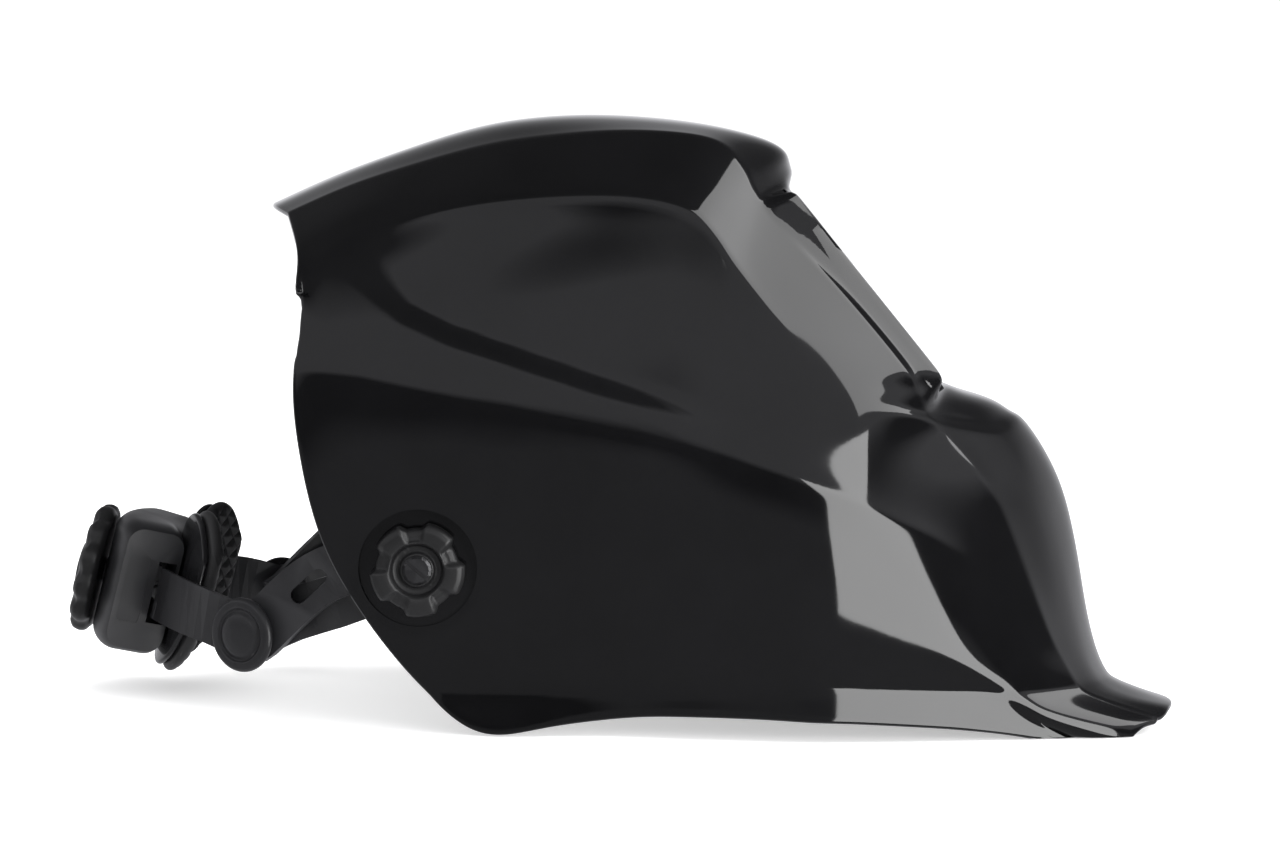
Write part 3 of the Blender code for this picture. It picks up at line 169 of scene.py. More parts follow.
def frame_of(origin, out, up):
    """Columns are across, up and out; the last column is the origin."""
    out = Vector(out).normalized()
    up = Vector(up)
    up = (up - out * up.dot(out)).normalized()
    rows = Matrix((up.cross(out), up, out)).transposed().to_4x4()
    rows.translation = Vector(origin)
    return rows


def prism(outline, low, high, place, spread=0.0):
    """An outline pushed from low to high along the out axis, growing by spread at the top."""
    count = len(outline)
    points = [place @ Vector((a, b, low)) for a, b in outline]
    for a, b in outline:
        grow = 1 + spread / math.hypot(a, b)
        points.append(place @ Vector((a * grow, b * grow, high)))
    faces = [tuple(range(count))[::-1], tuple(range(count, 2 * count))]
    faces += [(i, (i + 1) % count, (i + 1) % count + count, i + count) for i in range(count)]
    return points, faces


def rounded(width, height, radius, steps=10):
    found = []
    for corner, (sx, sy) in enumerate(((1, 1), (-1, 1), (-1, -1), (1, -1))):
        for step in range(steps + 1):
            angle = math.pi / 2 * (corner + step / steps)
            x = sx * (width / 2 - radius) + radius * math.cos(angle)
            y = sy * (height / 2 - radius) + radius * math.sin(angle)
            found.append((x, y))
    return found


def circle(radius, count=96):
    turns = [2 * math.pi * i / count for i in range(count)]
    return [(radius * math.cos(a), radius * math.sin(a)) for a in turns]


def grid_faces(rows, columns, wrap_rows=False, wrap_columns=False):
    faces = []
    for i in range(rows if wrap_rows else rows - 1):
        for j in range(columns if wrap_columns else columns - 1):
            k = (i + 1) % rows
            m = (j + 1) % columns
            faces.append((i * columns + j, i * columns + m, k * columns + m, k * columns + j))
    return faces


def turned(profile, place, count=96, shape=None):
    """Rows of (radius, height) turned round the out axis; radius 0 closes an end.

    shape(angle, radius, height) gives the radius and the height to use there.
    """
    points = []
    for radius, height in profile:
        for i in range(count):
            angle = 2 * math.pi * i / count
            reach, lift = shape(angle, radius, height) if shape and radius else (radius, height)
            points.append(place @ Vector((reach * math.cos(angle), reach * math.sin(angle), lift)))
    ring = all(radius > 0 for radius, _ in profile)
    return points, grid_faces(len(profile), count, ring, True)


def softened(profile, radius=0.5, steps=3):
    """The same profile with each corner between its ends cut to a small arc."""
    found = [profile[0]]
    for before, here, after in zip(profile, profile[1:], profile[2:]):
        a = Vector((before[0] - here[0], before[1] - here[1]))
        b = Vector((after[0] - here[0], after[1] - here[1]))
        reach = min(radius, a.length * 0.45, b.length * 0.45)
        start = Vector(here) + a.normalized() * reach
        end = Vector(here) + b.normalized() * reach
        for k in range(steps + 1):
            t = k / steps
            spot = start * (1 - t) ** 2 + Vector(here) * 2 * t * (1 - t) + end * t * t
            found.append(tuple(spot))
    found.append(profile[-1])
    return found


# --- Materials ------------------------------------------------------------------------------


def spread_of(tree, source, low, high, start=0.3, end=0.7):
    """A Map Range from the source's value to low..high."""
    made = tree.nodes.new("ShaderNodeMapRange")
    made.inputs["From Min"].default_value = start
    made.inputs["From Max"].default_value = end
    made.inputs["To Min"].default_value = low
    made.inputs["To Max"].default_value = high
    tree.links.new(source, made.inputs["Value"])
    return made.outputs["Result"]


def noise_of(tree, scale, detail=3.0, rough=0.55):
    where = tree.nodes.new("ShaderNodeTexCoord")
    made = tree.nodes.new("ShaderNodeTexNoise")
    made.inputs["Scale"].default_value = scale
    made.inputs["Detail"].default_value = detail
    made.inputs["Roughness"].default_value = rough
    tree.links.new(where.outputs["Object"], made.inputs["Vector"])
    return made.outputs["Fac"]


# Sockets of a Mix node that mixes colours: first colour, second colour and result.
MIX_A = 6
MIX_B = 7
MIX_OUT = 2


def tint_of(tree, source, dark, light):
    """A colour that goes from dark to light with the source."""
    made = tree.nodes.new("ShaderNodeMix")
    made.data_type = "RGBA"
    made.inputs[MIX_A].default_value = (*dark, 1)
    made.inputs[MIX_B].default_value = (*light, 1)
    tree.links.new(source, made.inputs["Factor"])
    return made.outputs[MIX_OUT]


def bump_of(tree, source, depth, strength=1.0, under=None):
    made = tree.nodes.new("ShaderNodeBump")
    made.inputs["Strength"].default_value = strength
    made.inputs["Distance"].default_value = depth
    tree.links.new(source, made.inputs["Height"])
    if under:
        tree.links.new(under, made.inputs["Normal"])
    return made.outputs["Normal"]


def new_material(name):
    made = bpy.data.materials.new(name)
    made.use_nodes = True
    return made, made.node_tree, made.node_tree.nodes["Principled BSDF"]


def moulded(name, colour, rough, grain=1400.0, depth=0.00004, vary=0.25, metal=0.0, edge=0.35):
    """Moulded plastic or metal: fine grain, blotchy gloss and a painted highlight that makes sharp edges
    paler.
    """
    made, tree, shader = new_material(name)
    broad = noise_of(tree, 45.0, 4.0)
    fine = noise_of(tree, grain, 2.0)
    dark = tuple(c * (1 - vary) for c in colour)
    light = tuple(c * (1 + vary) for c in colour)
    base = tint_of(tree, spread_of(tree, broad, 0, 1), dark, light)
    # Sharp edges, found by pointiness, are painted paler in colour: a painted highlight, not wear.
    if edge:
        where = tree.nodes.new("ShaderNodeNewGeometry")
        painted_edge_highlight = spread_of(tree, where.outputs["Pointiness"], 0, edge, 0.51, 0.58)
        mixed = tree.nodes.new("ShaderNodeMix")
        mixed.data_type = "RGBA"
        mixed.inputs[MIX_B].default_value = (*(min(1, c * 2.2 + 0.02) for c in colour), 1)
        tree.links.new(painted_edge_highlight, mixed.inputs["Factor"])
        tree.links.new(base, mixed.inputs[MIX_A])
        base = mixed.outputs[MIX_OUT]
    tree.links.new(base, shader.inputs["Base Color"])
    tree.links.new(spread_of(tree, broad, rough * 0.88, rough * 1.14), shader.inputs["Roughness"])
    tree.links.new(bump_of(tree, fine, depth, 0.6), shader.inputs["Normal"])
    shader.inputs["Metallic"].default_value = metal
    shader.inputs["Specular IOR Level"].default_value = 0.5 if metal else 0.32
    return made


def gloss_black():
    """The shell: black nylon, mirror gloss, a trace of ripple and rubbed haze."""
    made, tree, shader = new_material("shell_gloss_black")
    ripple = noise_of(tree, 55.0, 1.0, 0.4)
    fine = noise_of(tree, 420.0, 2.0)
    haze = noise_of(tree, 14.0, 5.0, 0.65)
    dark = (0.0022, 0.0022, 0.0024)
    light = (0.0036, 0.0036, 0.0040)
    base = tint_of(tree, spread_of(tree, haze, 0, 1), dark, light)
    tree.links.new(base, shader.inputs["Base Color"])
    tree.links.new(spread_of(tree, haze, 0.035, 0.075), shader.inputs["Roughness"])
    waves = bump_of(tree, ripple, 0.00012, 0.35)
    tree.links.new(bump_of(tree, fine, 0.000004, 0.5, waves), shader.inputs["Normal"])
    shader.inputs["IOR"].default_value = 1.36
    return made


def glass(name, colour, rough, ior, through):
    """A tinted lens with a faint smear in its gloss."""
    made, tree, shader = new_material(name)
    smear = noise_of(tree, 30.0, 4.0)
    dark = tuple(c * 0.9 for c in colour)
    base = tint_of(tree, spread_of(tree, smear, 0, 1), dark, colour)
    tree.links.new(base, shader.inputs["Base Color"])
    tree.links.new(spread_of(tree, smear, rough, rough + 0.03), shader.inputs["Roughness"])
    shader.inputs["IOR"].default_value = ior
    shader.inputs["Transmission Weight"].default_value = through
    return made


def woven(name, dark, light, pitch, depth):
    """Fine knit: two crossed wave sets over a soft blotch, with a fabric sheen."""
    made, tree, shader = new_material(name)
    where = tree.nodes.new("ShaderNodeTexCoord")
    waves = []
    for direction in ("X", "Z"):
        wave = tree.nodes.new("ShaderNodeTexWave")
        wave.bands_direction = direction
        wave.inputs["Scale"].default_value = pitch
        wave.inputs["Distortion"].default_value = 1.5
        wave.inputs["Detail"].default_value = 2.0
        tree.links.new(where.outputs["Object"], wave.inputs["Vector"])
        waves.append(wave.outputs["Fac"])
    cross = tree.nodes.new("ShaderNodeMath")
    cross.operation = "MULTIPLY"
    tree.links.new(waves[0], cross.inputs[0])
    tree.links.new(waves[1], cross.inputs[1])
    blotch = noise_of(tree, 60.0, 4.0)
    base = tint_of(tree, spread_of(tree, blotch, 0, 1), dark, light)
    tree.links.new(base, shader.inputs["Base Color"])
    tree.links.new(spread_of(tree, blotch, 0.82, 0.95), shader.inputs["Roughness"])
    tree.links.new(bump_of(tree, cross.outputs[0], depth, 0.8), shader.inputs["Normal"])
    shader.inputs["Sheen Weight"].default_value = 0.35
    shader.inputs["Sheen Roughness"].default_value = 0.5
    return made


GLOSS = gloss_black()
SATIN = moulded("headgear_satin", (0.012, 0.012, 0.0135), 0.42)
MATTE = moulded("knob_matte", (0.009, 0.009, 0.0095), 0.42, 1800.0, 0.00005)
STRAP = moulded("strap_plastic", (0.012, 0.012, 0.0135), 0.44, 1100.0)
FRAME_BLACK = moulded("frame_black", (0.015, 0.015, 0.017), 0.5)
GREY = moulded("dial_grey", (0.30, 0.31, 0.32), 0.42, edge=0.2)
RED = moulded("button_red", (0.42, 0.03, 0.02), 0.4, edge=0.2)
STEEL = moulded("zinc_steel", (0.55, 0.55, 0.57), 0.32, 900.0, 0.00002, 0.1, 1.0, 0.2)
SCREW_DARK = moulded("screw_black_zinc", (0.06, 0.06, 0.062), 0.38, 900.0, 0.00002, 0.2, 1.0, 0.3)
RUBBER = moulded("washer_rubber", (0.014, 0.014, 0.014), 0.8, 900.0, 0.00005)
PAD_RUBBER = moulded("pad_rubber", (0.018, 0.018, 0.019), 0.5, 1500.0, 0.00005)
PAD_GLOSS = moulded("pad_shell_gloss", (0.012, 0.012, 0.013), 0.12, 300.0, 0.000006)
SOLAR = moulded("solar_film", (0.022, 0.010, 0.035), 0.14, 500.0, 0.00001, 0.4)
SENSOR = moulded("sensor_lens", (0.10, 0.008, 0.008), 0.08, 500.0, 0.000004)
COVER = glass("cover_lens_clear", (0.86, 0.90, 0.88), 0.01, 1.49, 1.0)
FILTER = glass("filter_dark_green", (0.010, 0.045, 0.022), 0.03, 1.52, 0.25)
FABRIC = woven("sweat_knit", (0.018, 0.018, 0.019), (0.034, 0.034, 0.036), 700.0, 0.0004)


# --- Shell ----------------------------------------------------------------------------------

CREASE = 2  # column of the crown edge, the window bevel and the keel
CREASE_ROWS = ((1.6, 2.6), (8.6, 10.2))  # where the next column is a crease too
ROWS_PER_SECTION = 16
COLUMNS_PER_STEP = (16, 18, 26, 38, 38)
EDGE_ROW = 0.05
EDGE_COLUMN = 0.03
LIP_STEPS = 5
CORNER_STEPS = (8, 26)

# Smoothing in grid steps: across the crown, the sides, the crease strip and the sides beside it,
# then along the rows, and last of all along and across.
CENTRE_BLUR = 1.7
SOFT_BLUR = 7.0
BAND_BLUR = 3.0
PLAIN_BLUR = 6.0
ROW_BLUR = 4.0
LAST_BLUR = (0.8, 0.7)
FLAT_HALF_WIDTH = (61, 66)  # the window's flat ends between these distances from its middle
FLAT_HALF_HEIGHT = (46, 51)

SIDE_FROM = (66, 84)  # the side's features start between these distances from the middle plane
POCKET_DEPTH = 3.4
POCKET_WALL = (13.0, 5.0)  # widths of its sloping wall, where BAND_LINE starts and where it ends
POCKET_NARROWS = (0.3, 0.68)  # shares of BAND_LINE between which the wall narrows
POCKET_EDGE = 0.5
POCKET_SHALLOW = 0.25  # share of its depth that is left at the top edge
POCKET_DEEPENS = (-2.0, 34.0)  # below POCKET_TOP
POCKET_FRONT = (-20, 45)  # the pocket fades out between these x, in front and behind
POCKET_REAR = (-122, -106)
POCKET_CEILING = (200, 212)  # and between these z above
BELT_RISE = 1.9
BELT_ABOVE = 11.0  # how slowly the belt crease fades above and below its line
BELT_BELOW = 45.0
FLARE = 0.27  # slope of the bottom flange, and what is added behind and at the chin
FLARE_REAR = 0.15
FLARE_REAR_END = (-55, 5)
FLARE_CHIN = 0.14
FLARE_CHIN_START = (110, 150)
FLANGE_START = (-104, -75)
FLANGE_HEIGHT = 16
FLANGE_EDGE = 0.6
SCOOP_DEPTH = 1.5
SCOOP_START = (78, 112)
SCOOP_EDGE = (-1.0, 2.6)  # it deepens between these heights over SCOOP_LINE
SCOOP_TOP = (137, 142)


def weights(params, count):
    """Catmull-Rom weights of count control points at each parameter."""
    table = np.zeros((len(params), count))
    for row, t in enumerate(params):
        i = min(max(int(t), 0), count - 2)
        f = t - i
        basis = (
            0.5 * (-f**3 + 2 * f**2 - f),
            0.5 * (3 * f**3 - 5 * f**2 + 2),
            0.5 * (-3 * f**3 + 4 * f**2 + f),
            0.5 * (f**3 - f**2),
        )
        for k, value in enumerate(basis):
            j = i - 1 + k
            if j < 0:
                table[row, 0] += 2 * value
                table[row, 1] -= value
            elif j >= count:
                table[row, -1] += 2 * value
                table[row, -2] -= value
            else:
                table[row, j] += value
    return table


def smooth(value, low, high):
    t = np.clip((value - low) / (high - low), 0, 1)
    return t * t * (3 - 2 * t)


def line_at(x, knots):
    xs, zs = zip(*knots)
    return np.interp(x, xs, zs)


def blurred(points, axis, sigma):
    """Gaussian smoothing along one axis that keeps the two end rows in place."""
    reach = int(3 * sigma) + 1
    points = np.moveaxis(points, axis, 0)
    head = 2 * points[:1] - points[reach:0:-1]
    tail = 2 * points[-1:] - points[-2 : -reach - 2 : -1]
    wide = np.concatenate([head, points, tail])
    kernel = np.exp(-0.5 * (np.arange(-reach, reach + 1) / sigma) ** 2)
    kernel /= kernel.sum()
    found = sum(k * wide[i : i + len(points)] for i, k in enumerate(kernel))
    return np.moveaxis(found, 0, axis)


def grid_normals(points):
    normal = np.cross(np.gradient(points, axis=0), np.gradient(points, axis=1))
    normal /= np.linalg.norm(normal, axis=2, keepdims=True)
    height, width = points.shape[:2]
    return -normal if normal[height // 3, width // 2, 2] < 0 else normal


# Lines of the moulded features in the side view, as (x, z).
POCKET_TOP = ((-110, 174), (-105, 179.5), (-99, 186), (-77, 191), (-45, 199), (-13, 206), (34, 211))
BAND_LINE = (
    (-40, 224), (-80, 213), (-104, 203), (-114, 194.5), (-116, 187), (-109, 177), (-98, 168.5),
    (-90, 162.5), (-72, 154.5), (-45, 145.5), (-23, 138), (2, 130), (30, 121), (75, 108),
)
BELT_LINE = (
    (-128, 145), (-104, 142.5), (-67, 134), (-50, 131), (0, 119.5),
    (30, 112), (52, 104), (80, 92), (107, 80), (125, 70),
)
SCOOP_LINE = (
    (50, 131), (62, 129.5), (79, 129), (94, 127.6), (110, 124),
    (121, 121), (132, 119), (140, 119), (146, 123),
)
FLANGE_LINE = ((-120, 29), (-80, 25.5), (60, 24.5), (120, 21), (170, 18.5), (186, 18))


def side_of(x, z, knots):
    """Distance in the side view to a run of lines, positive on its right, and how far along."""
    knots = np.array(knots, float)
    best = np.full(x.shape, 1e9)
    signed = np.zeros(x.shape)
    place = np.zeros(x.shape)
    for k, (a, b) in enumerate(zip(knots, knots[1:])):
        step = b - a
        t = np.clip(((x - a[0]) * step[0] + (z - a[1]) * step[1]) / (step @ step), 0, 1)
        gap = np.hypot(x - a[0] - t * step[0], z - a[1] - t * step[1])
        turn = np.sign((z - a[1]) * step[0] - (x - a[0]) * step[1])
        closer = gap < best
        signed = np.where(closer, gap * turn, signed)
        place = np.where(closer, k + t, place)
        best = np.where(closer, gap, best)
    return signed, place / (len(knots) - 1)


def ramp(value, soft):
    """0 below zero, then rising one for one, with a rounded corner."""
    return (np.sqrt(value * value + soft * soft) + value) / 2


def shell_offset(x, y, z):
    """How far the moulded features stand out of the smooth shell, in millimetres."""
    side = smooth(np.abs(y), *SIDE_FROM)
    inside, along = side_of(x, z, BAND_LINE)
    wall = POCKET_WALL[0] + (POCKET_WALL[1] - POCKET_WALL[0]) * smooth(along, *POCKET_NARROWS)
    deep = ramp(inside, POCKET_EDGE) - ramp(inside - wall, POCKET_EDGE)
    below_top = smooth(line_at(x, POCKET_TOP) - z, *POCKET_DEEPENS)
    share = POCKET_SHALLOW + (1 - POCKET_SHALLOW) * below_top
    fade = (1 - smooth(x, *POCKET_FRONT)) * smooth(x, *POCKET_REAR) * (1 - smooth(z, *POCKET_CEILING))
    pocket = -POCKET_DEPTH * deep / wall * fade * side * share
    over = z - line_at(x, BELT_LINE)
    crisp = np.sqrt(over * over + 1.0) - 1.0
    belt = BELT_RISE * np.exp(-crisp / np.where(over > 0, BELT_ABOVE, BELT_BELOW)) * side
    low = line_at(x, FLANGE_LINE) - z
    flare = FLARE + FLARE_REAR * (1 - smooth(x, *FLARE_REAR_END))
    flare = flare + FLARE_CHIN * smooth(x, *FLARE_CHIN_START)
    flange = flare * np.minimum(ramp(low, FLANGE_EDGE), FLANGE_HEIGHT) * smooth(x, *FLANGE_START)
    above = z - line_at(x, SCOOP_LINE)
    scoop = -SCOOP_DEPTH * smooth(above, *SCOOP_EDGE) * smooth(x, *SCOOP_START)
    scoop = scoop * (1 - smooth(z, *SCOOP_TOP))
    return pocket + belt + flange + scoop


def spaced(first, last):
    """Column parameters from first to last, with the chosen number of steps in each interval."""
    steps = [np.linspace(i, i + 1, COLUMNS_PER_STEP[i] + 1)[:-1] for i in range(first, last)]
    return np.concatenate(steps + [[last]])


def patch(along, net, first, last, sigma):
    """The spline surface over control columns first..last of one half, its edges kept crisp."""
    params = spaced(first, last) - first
    across = weights(params, last - first + 1)
    part = np.einsum("ij,jkc,lk->ilc", along, net[:, first : last + 1], across)
    return blurred(part, 1, sigma)


def flatten_window(points):
    """Points round the window are brought onto its plane."""
    lean = (math.sin(WINDOW_LEAN), math.cos(WINDOW_LEAN))
    dx = points[..., 0] - WINDOW_MIDDLE[0]
    dz = points[..., 2] - WINDOW_MIDDLE[1]
    run = dx * lean[0] - dz * lean[1]
    height = dx * lean[1] + dz * lean[0]
    within = 1 - smooth(np.abs(points[..., 1]), *FLAT_HALF_WIDTH)
    flat = within * (1 - smooth(np.abs(run), *FLAT_HALF_HEIGHT))
    points[..., 0] -= height * lean[1] * flat
    points[..., 2] -= height * lean[0] * flat


def shell_surface():
    """The outside of the shell as a grid of points, and their normals."""
    net = np.array(SECTIONS, float)
    last = net.shape[1] - 1
    net[:, last] = net[:, last] + (net[:, last - 1] - net[:, last]) * EDGE_COLUMN
    sections = len(net)
    rows = np.linspace(EDGE_ROW, sections - 1 - EDGE_ROW, (sections - 1) * ROWS_PER_SECTION)
    along = weights(rows, sections)
    whole = np.concatenate([net[:, :0:-1] * (1, -1, 1), net], axis=1)
    params = np.concatenate([-spaced(0, CREASE)[:0:-1], spaced(0, CREASE)]) + CREASE
    middle = whole[:, last - CREASE : last + CREASE + 1]
    centre = np.einsum("ij,jkc,lk->ilc", along, middle, weights(params, 2 * CREASE + 1))
    centre = blurred(centre, 1, CENTRE_BLUR)
    soft = patch(along, net, CREASE, last, SOFT_BLUR)
    band = patch(along, net, CREASE, CREASE + 1, BAND_BLUR)
    plain = patch(along, net, CREASE + 1, last, PLAIN_BLUR)
    crisp = np.concatenate([band, plain[:, 1:]], axis=1)
    share = smooth(rows, *CREASE_ROWS[0]) * (1 - smooth(rows, *CREASE_ROWS[1]))
    share = share[:, None, None]
    flank = soft * (1 - share) + crisp * share
    points = np.concatenate([(flank * (1, -1, 1))[:, :0:-1], centre, flank[:, 1:]], axis=1)
    points = blurred(points, 0, ROW_BLUR)
    flatten_window(points)
    normal = grid_normals(points)
    offset = shell_offset(points[..., 0], points[..., 1], points[..., 2])
    points = points + normal * offset[..., None]
    points = blurred(blurred(points, 0, LAST_BLUR[0]), 1, LAST_BLUR[1])
    return points, grid_normals(points)


def on_floor(points):
    """Anything that would reach below the floor is flattened on it."""
    sine, cosine = math.sin(REST_LEAN), math.cos(REST_LEAN)
    low = np.maximum(FLOOR_Z - (points[..., 0] * sine + points[..., 2] * cosine), 0)
    points[..., 0] += low * sine
    points[..., 2] += low * cosine
    return points


def edge_loop(height, width):
    found = [(0, j) for j in range(width)] + [(i, width - 1) for i in range(1, height)]
    found += [(height - 1, j) for j in range(width - 2, -1, -1)]
    found += [(i, 0) for i in range(height - 2, 0, -1)]
    return found


def steady_corners(normal):
    """At a corner of the grid two edges meet in a line, so the normal there comes from further in."""
    inset = CORNER_STEPS[1]
    for turned_over in (False, True):
        for swapped in (False, True):
            view = normal[::-1] if turned_over else normal
            view = view[:, ::-1] if swapped else view
            far = np.maximum(*np.meshgrid(range(inset), range(inset), indexing="ij"))
            share = smooth(far, *CORNER_STEPS)[..., None]
            corner = view[:inset, :inset] * share + view[inset, inset] * (1 - share)
            view[:inset, :inset] = corner / np.linalg.norm(corner, axis=2, keepdims=True)
    return normal


def shell_mesh():
    """The outside, the inside one wall further in, and a rounded lip that joins them at the rim."""
    outer, normal = shell_surface()
    normal = steady_corners(normal)
    inner = outer - normal * WALL
    height, width = outer.shape[:2]
    points = list(outer.reshape(-1, 3)) + list(inner.reshape(-1, 3))
    shift = height * width
    faces = []
    for face in grid_faces(height, width):
        faces.append(face)
        faces.append(tuple(shift + k for k in reversed(face)))
    loop = edge_loop(height, width)
    rim = [i * width + j for i, j in loop]
    line = np.array([outer[i, j] for i, j in loop])
    out = np.array([normal[i, j] for i, j in loop])
    ways = np.cross(np.roll(line, -1, axis=0) - np.roll(line, 1, axis=0), out)
    ways /= np.linalg.norm(ways, axis=1, keepdims=True)
    middle = width // 2
    if ways[middle] @ (outer[0, middle] - outer[1, middle]) < 0:
        ways = -ways
    rings = [rim]
    for step in range(1, LIP_STEPS):
        angle = math.pi * step / LIP_STEPS
        start = len(points)
        for (i, j), way in zip(loop, ways):
            mid = outer[i, j] - normal[i, j] * WALL / 2
            points.append(mid + (normal[i, j] * math.cos(angle) + way * math.sin(angle)) * WALL / 2)
        rings.append(list(range(start, start + len(loop))))
    rings.append([k + shift for k in rim])
    for here, after in zip(rings, rings[1:]):
        for k in range(len(loop)):
            m = (k + 1) % len(loop)
            faces.append((here[m], here[k], after[k], after[m]))
    points = on_floor(np.array(points))
    return points, faces


SHELL_POINTS, SHELL_FACES = shell_mesh()
KNOB_LOW = 1.9  # the knob's foot above its seat
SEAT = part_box("pivot_knob_L")[0][1] / MM - KNOB_LOW
KNOB_HEIGHT = 10.0
KNOB_TOP = KNOB_LOW + KNOB_HEIGHT
KNOB_RADIUS = 17.5
BOSS_RADIUS = 24.0
BOSS_SPAN = (-3.4, 0.9)
RECESS_GAP = 4.0
RECESS_FLARE = 2.0
BOLT_HOLE = 4.2
THROUGH = 30  # long enough to cut past the wall

# Width, height and corner radius, and heights out of the window's plane.
WINDOW_RIM = (118, 98, 8)
WINDOW_RIM_SPAN = (-6, -2.2)
LENS_RECESS = (113.8, 91.8, 6.4)
LENS_RECESS_SPAN = (-2.3, 20)
LENS_RECESS_FLARE = 4.0
WINDOW_OPENING = (102, 80, 5)

window_out = Vector((math.cos(WINDOW_LEAN), 0, math.sin(WINDOW_LEAN)))
window_up = Vector((-math.sin(WINDOW_LEAN), 0, math.cos(WINDOW_LEAN)))
WINDOW = frame_of((WINDOW_MIDDLE[0], 0, WINDOW_MIDDLE[1]), window_out, window_up)


def make_shell():
    """The moulding with its window rim and recess, and a boss, recess and hole for each knob."""
    shell = add_mesh("shell_moulding", SHELL_POINTS, SHELL_FACES, GLOSS)

    def step(name, shape, operation="DIFFERENCE"):
        boolean(shell, add_mesh(name, *shape), operation)

    step("window_rim", prism(rounded(*WINDOW_RIM), *WINDOW_RIM_SPAN, WINDOW), "UNION")
    for turn in (1, -1):
        seat = frame_of((PIVOT.x, turn * SEAT, PIVOT.z), (0, turn, 0), (0, 0, 1))
        step("boss", prism(circle(BOSS_RADIUS), *BOSS_SPAN, seat), "UNION")
        step("recess", prism(circle(KNOB_RADIUS + RECESS_GAP), 0, THROUGH, seat, RECESS_FLARE))
        step("hole", prism(circle(BOLT_HOLE), -THROUGH, THROUGH, seat))
    recess = prism(rounded(*LENS_RECESS), *LENS_RECESS_SPAN, WINDOW, LENS_RECESS_FLARE)
    step("lens_recess", recess)
    step("window_opening", prism(rounded(*WINDOW_OPENING), -THROUGH, THROUGH, WINDOW))
    tidy_mesh(shell, 32.0)
    finish(shell, "shell", "helmet_shell")


make_shell()


# --- Pivot knobs ----------------------------------------------------------------------------

LOBES = 5
FIRST_SCALLOP = math.radians(85)
SCALLOP_BITE = 0.13  # share of the radius
SCALLOP_SINK = 1.6


def knob_shape(angle, radius, height):
    """Finger scallops that bite the rim and slope down into it."""
    turn = math.cos(LOBES * (angle - FIRST_SCALLOP))
    bite = float(smooth(turn, -0.15, 0.75))
    outer = float(smooth(radius, 9.0, 13.5))
    lift = float(smooth(height, KNOB_TOP - 5, KNOB_TOP))
    return radius * (1 - SCALLOP_BITE * bite * outer), height - SCALLOP_SINK * bite * outer * lift


def make_knobs():
    """Each knob from its foot, round the grip and the dish, to the bolt's bore."""
    profile = [
        (3.4, KNOB_LOW), (15.8, KNOB_LOW), (17.3, KNOB_LOW + 1.0), (KNOB_RADIUS, KNOB_LOW + 4.0),
        (17.2, KNOB_TOP - 2.4), (16.4, KNOB_TOP - 0.9), (14.6, KNOB_TOP - 0.1), (12.0, KNOB_TOP),
        (10.4, KNOB_TOP - 0.2), (9.6, KNOB_TOP - 1.2), (8.9, KNOB_TOP - 3.4), (7.4, KNOB_TOP - 3.9),
        (6.6, KNOB_TOP - 3.6), (5.9, KNOB_TOP - 2.6), (4.6, KNOB_TOP - 2.6), (3.9, KNOB_TOP - 3.4),
        (3.4, KNOB_TOP - 3.5),
    ]
    profile = softened(profile, 0.5)
    for side, turn in (("L", 1), ("R", -1)):
        seat = frame_of((PIVOT.x, SEAT, PIVOT.z), (0, 1, 0), (0, 0, 1))
        shape = turned(profile, seat, 180, knob_shape)
        knob = add_mesh(f"knob_grip_{side}", *shape, MATTE, 40.0, turn < 0)
        body = "knob_left" if side == "L" else "knob_right"
        finish(knob, body, f"pivot_knob_{side}")


make_knobs()


# --- Headgear: buttons, ratchet and pads ---------------------------------------------------------

front_along = Vector((math.cos(FRONT_SLOPE), 0, math.sin(FRONT_SLOPE)))
front_up = Vector((-math.sin(FRONT_SLOPE), 0, math.cos(FRONT_SLOPE)))
rear_along = Vector((math.cos(REAR_SLOPE), 0, -math.sin(REAR_SLOPE)))
rear_up = Vector((math.sin(REAR_SLOPE), 0, math.cos(REAR_SLOPE)))
STRAP_OUT = 3.2  # middle of the rear straps outside the head oval
HOUSING_ANGLE = 20.8
HOUSING_IN = -7.4
HOUSING_OUT = 17.9
HOUSING_HALF = 25.9
HOUSING_ROUND = 7.0
HOUSING_TUCK = 0.09  # how much the box narrows at its two ends
HOLLOW = ((-5.0, 2.4), 12.2)  # its reach in and out of the straps' middle, and its half height
HOLLOW_RUN = 1.4
PANEL = (9.0, 26.0, 1.5, 4)  # width, height, corner radius and steps of each blank end panel
PANEL_SINK = 0.25
PANEL_OUT = 10.0
KNOB_FACE = 18.5
RATCHET_RADIUS = 26.0
RATCHET_BACK = 26.9
RATCHET_LOBES = 12
RATCHET_BITE = 0.055  # share of the radius
RATCHET_SINK = 1.3


def ring_point(along, up, reach, angle, out=0.0, high=0.0):
    """A point on the head oval: angle 0 is straight ahead, 180 straight behind."""
    a = math.cos(angle) * reach
    y = math.sin(angle) * HEAD_Y
    normal = Vector((a / reach**2, y / HEAD_Y**2, 0)).normalized()
    spot = Vector((BUTTON.x, 0, BUTTON.z)) + along * (CENTRE + a + normal.x * out) + up * high
    return spot + Vector((0, y + normal.y * out, 0))


def rear_point(degrees, out=0.0, high=0.0):
    return ring_point(rear_along, rear_up, REAR_REACH, math.radians(degrees), out, high)


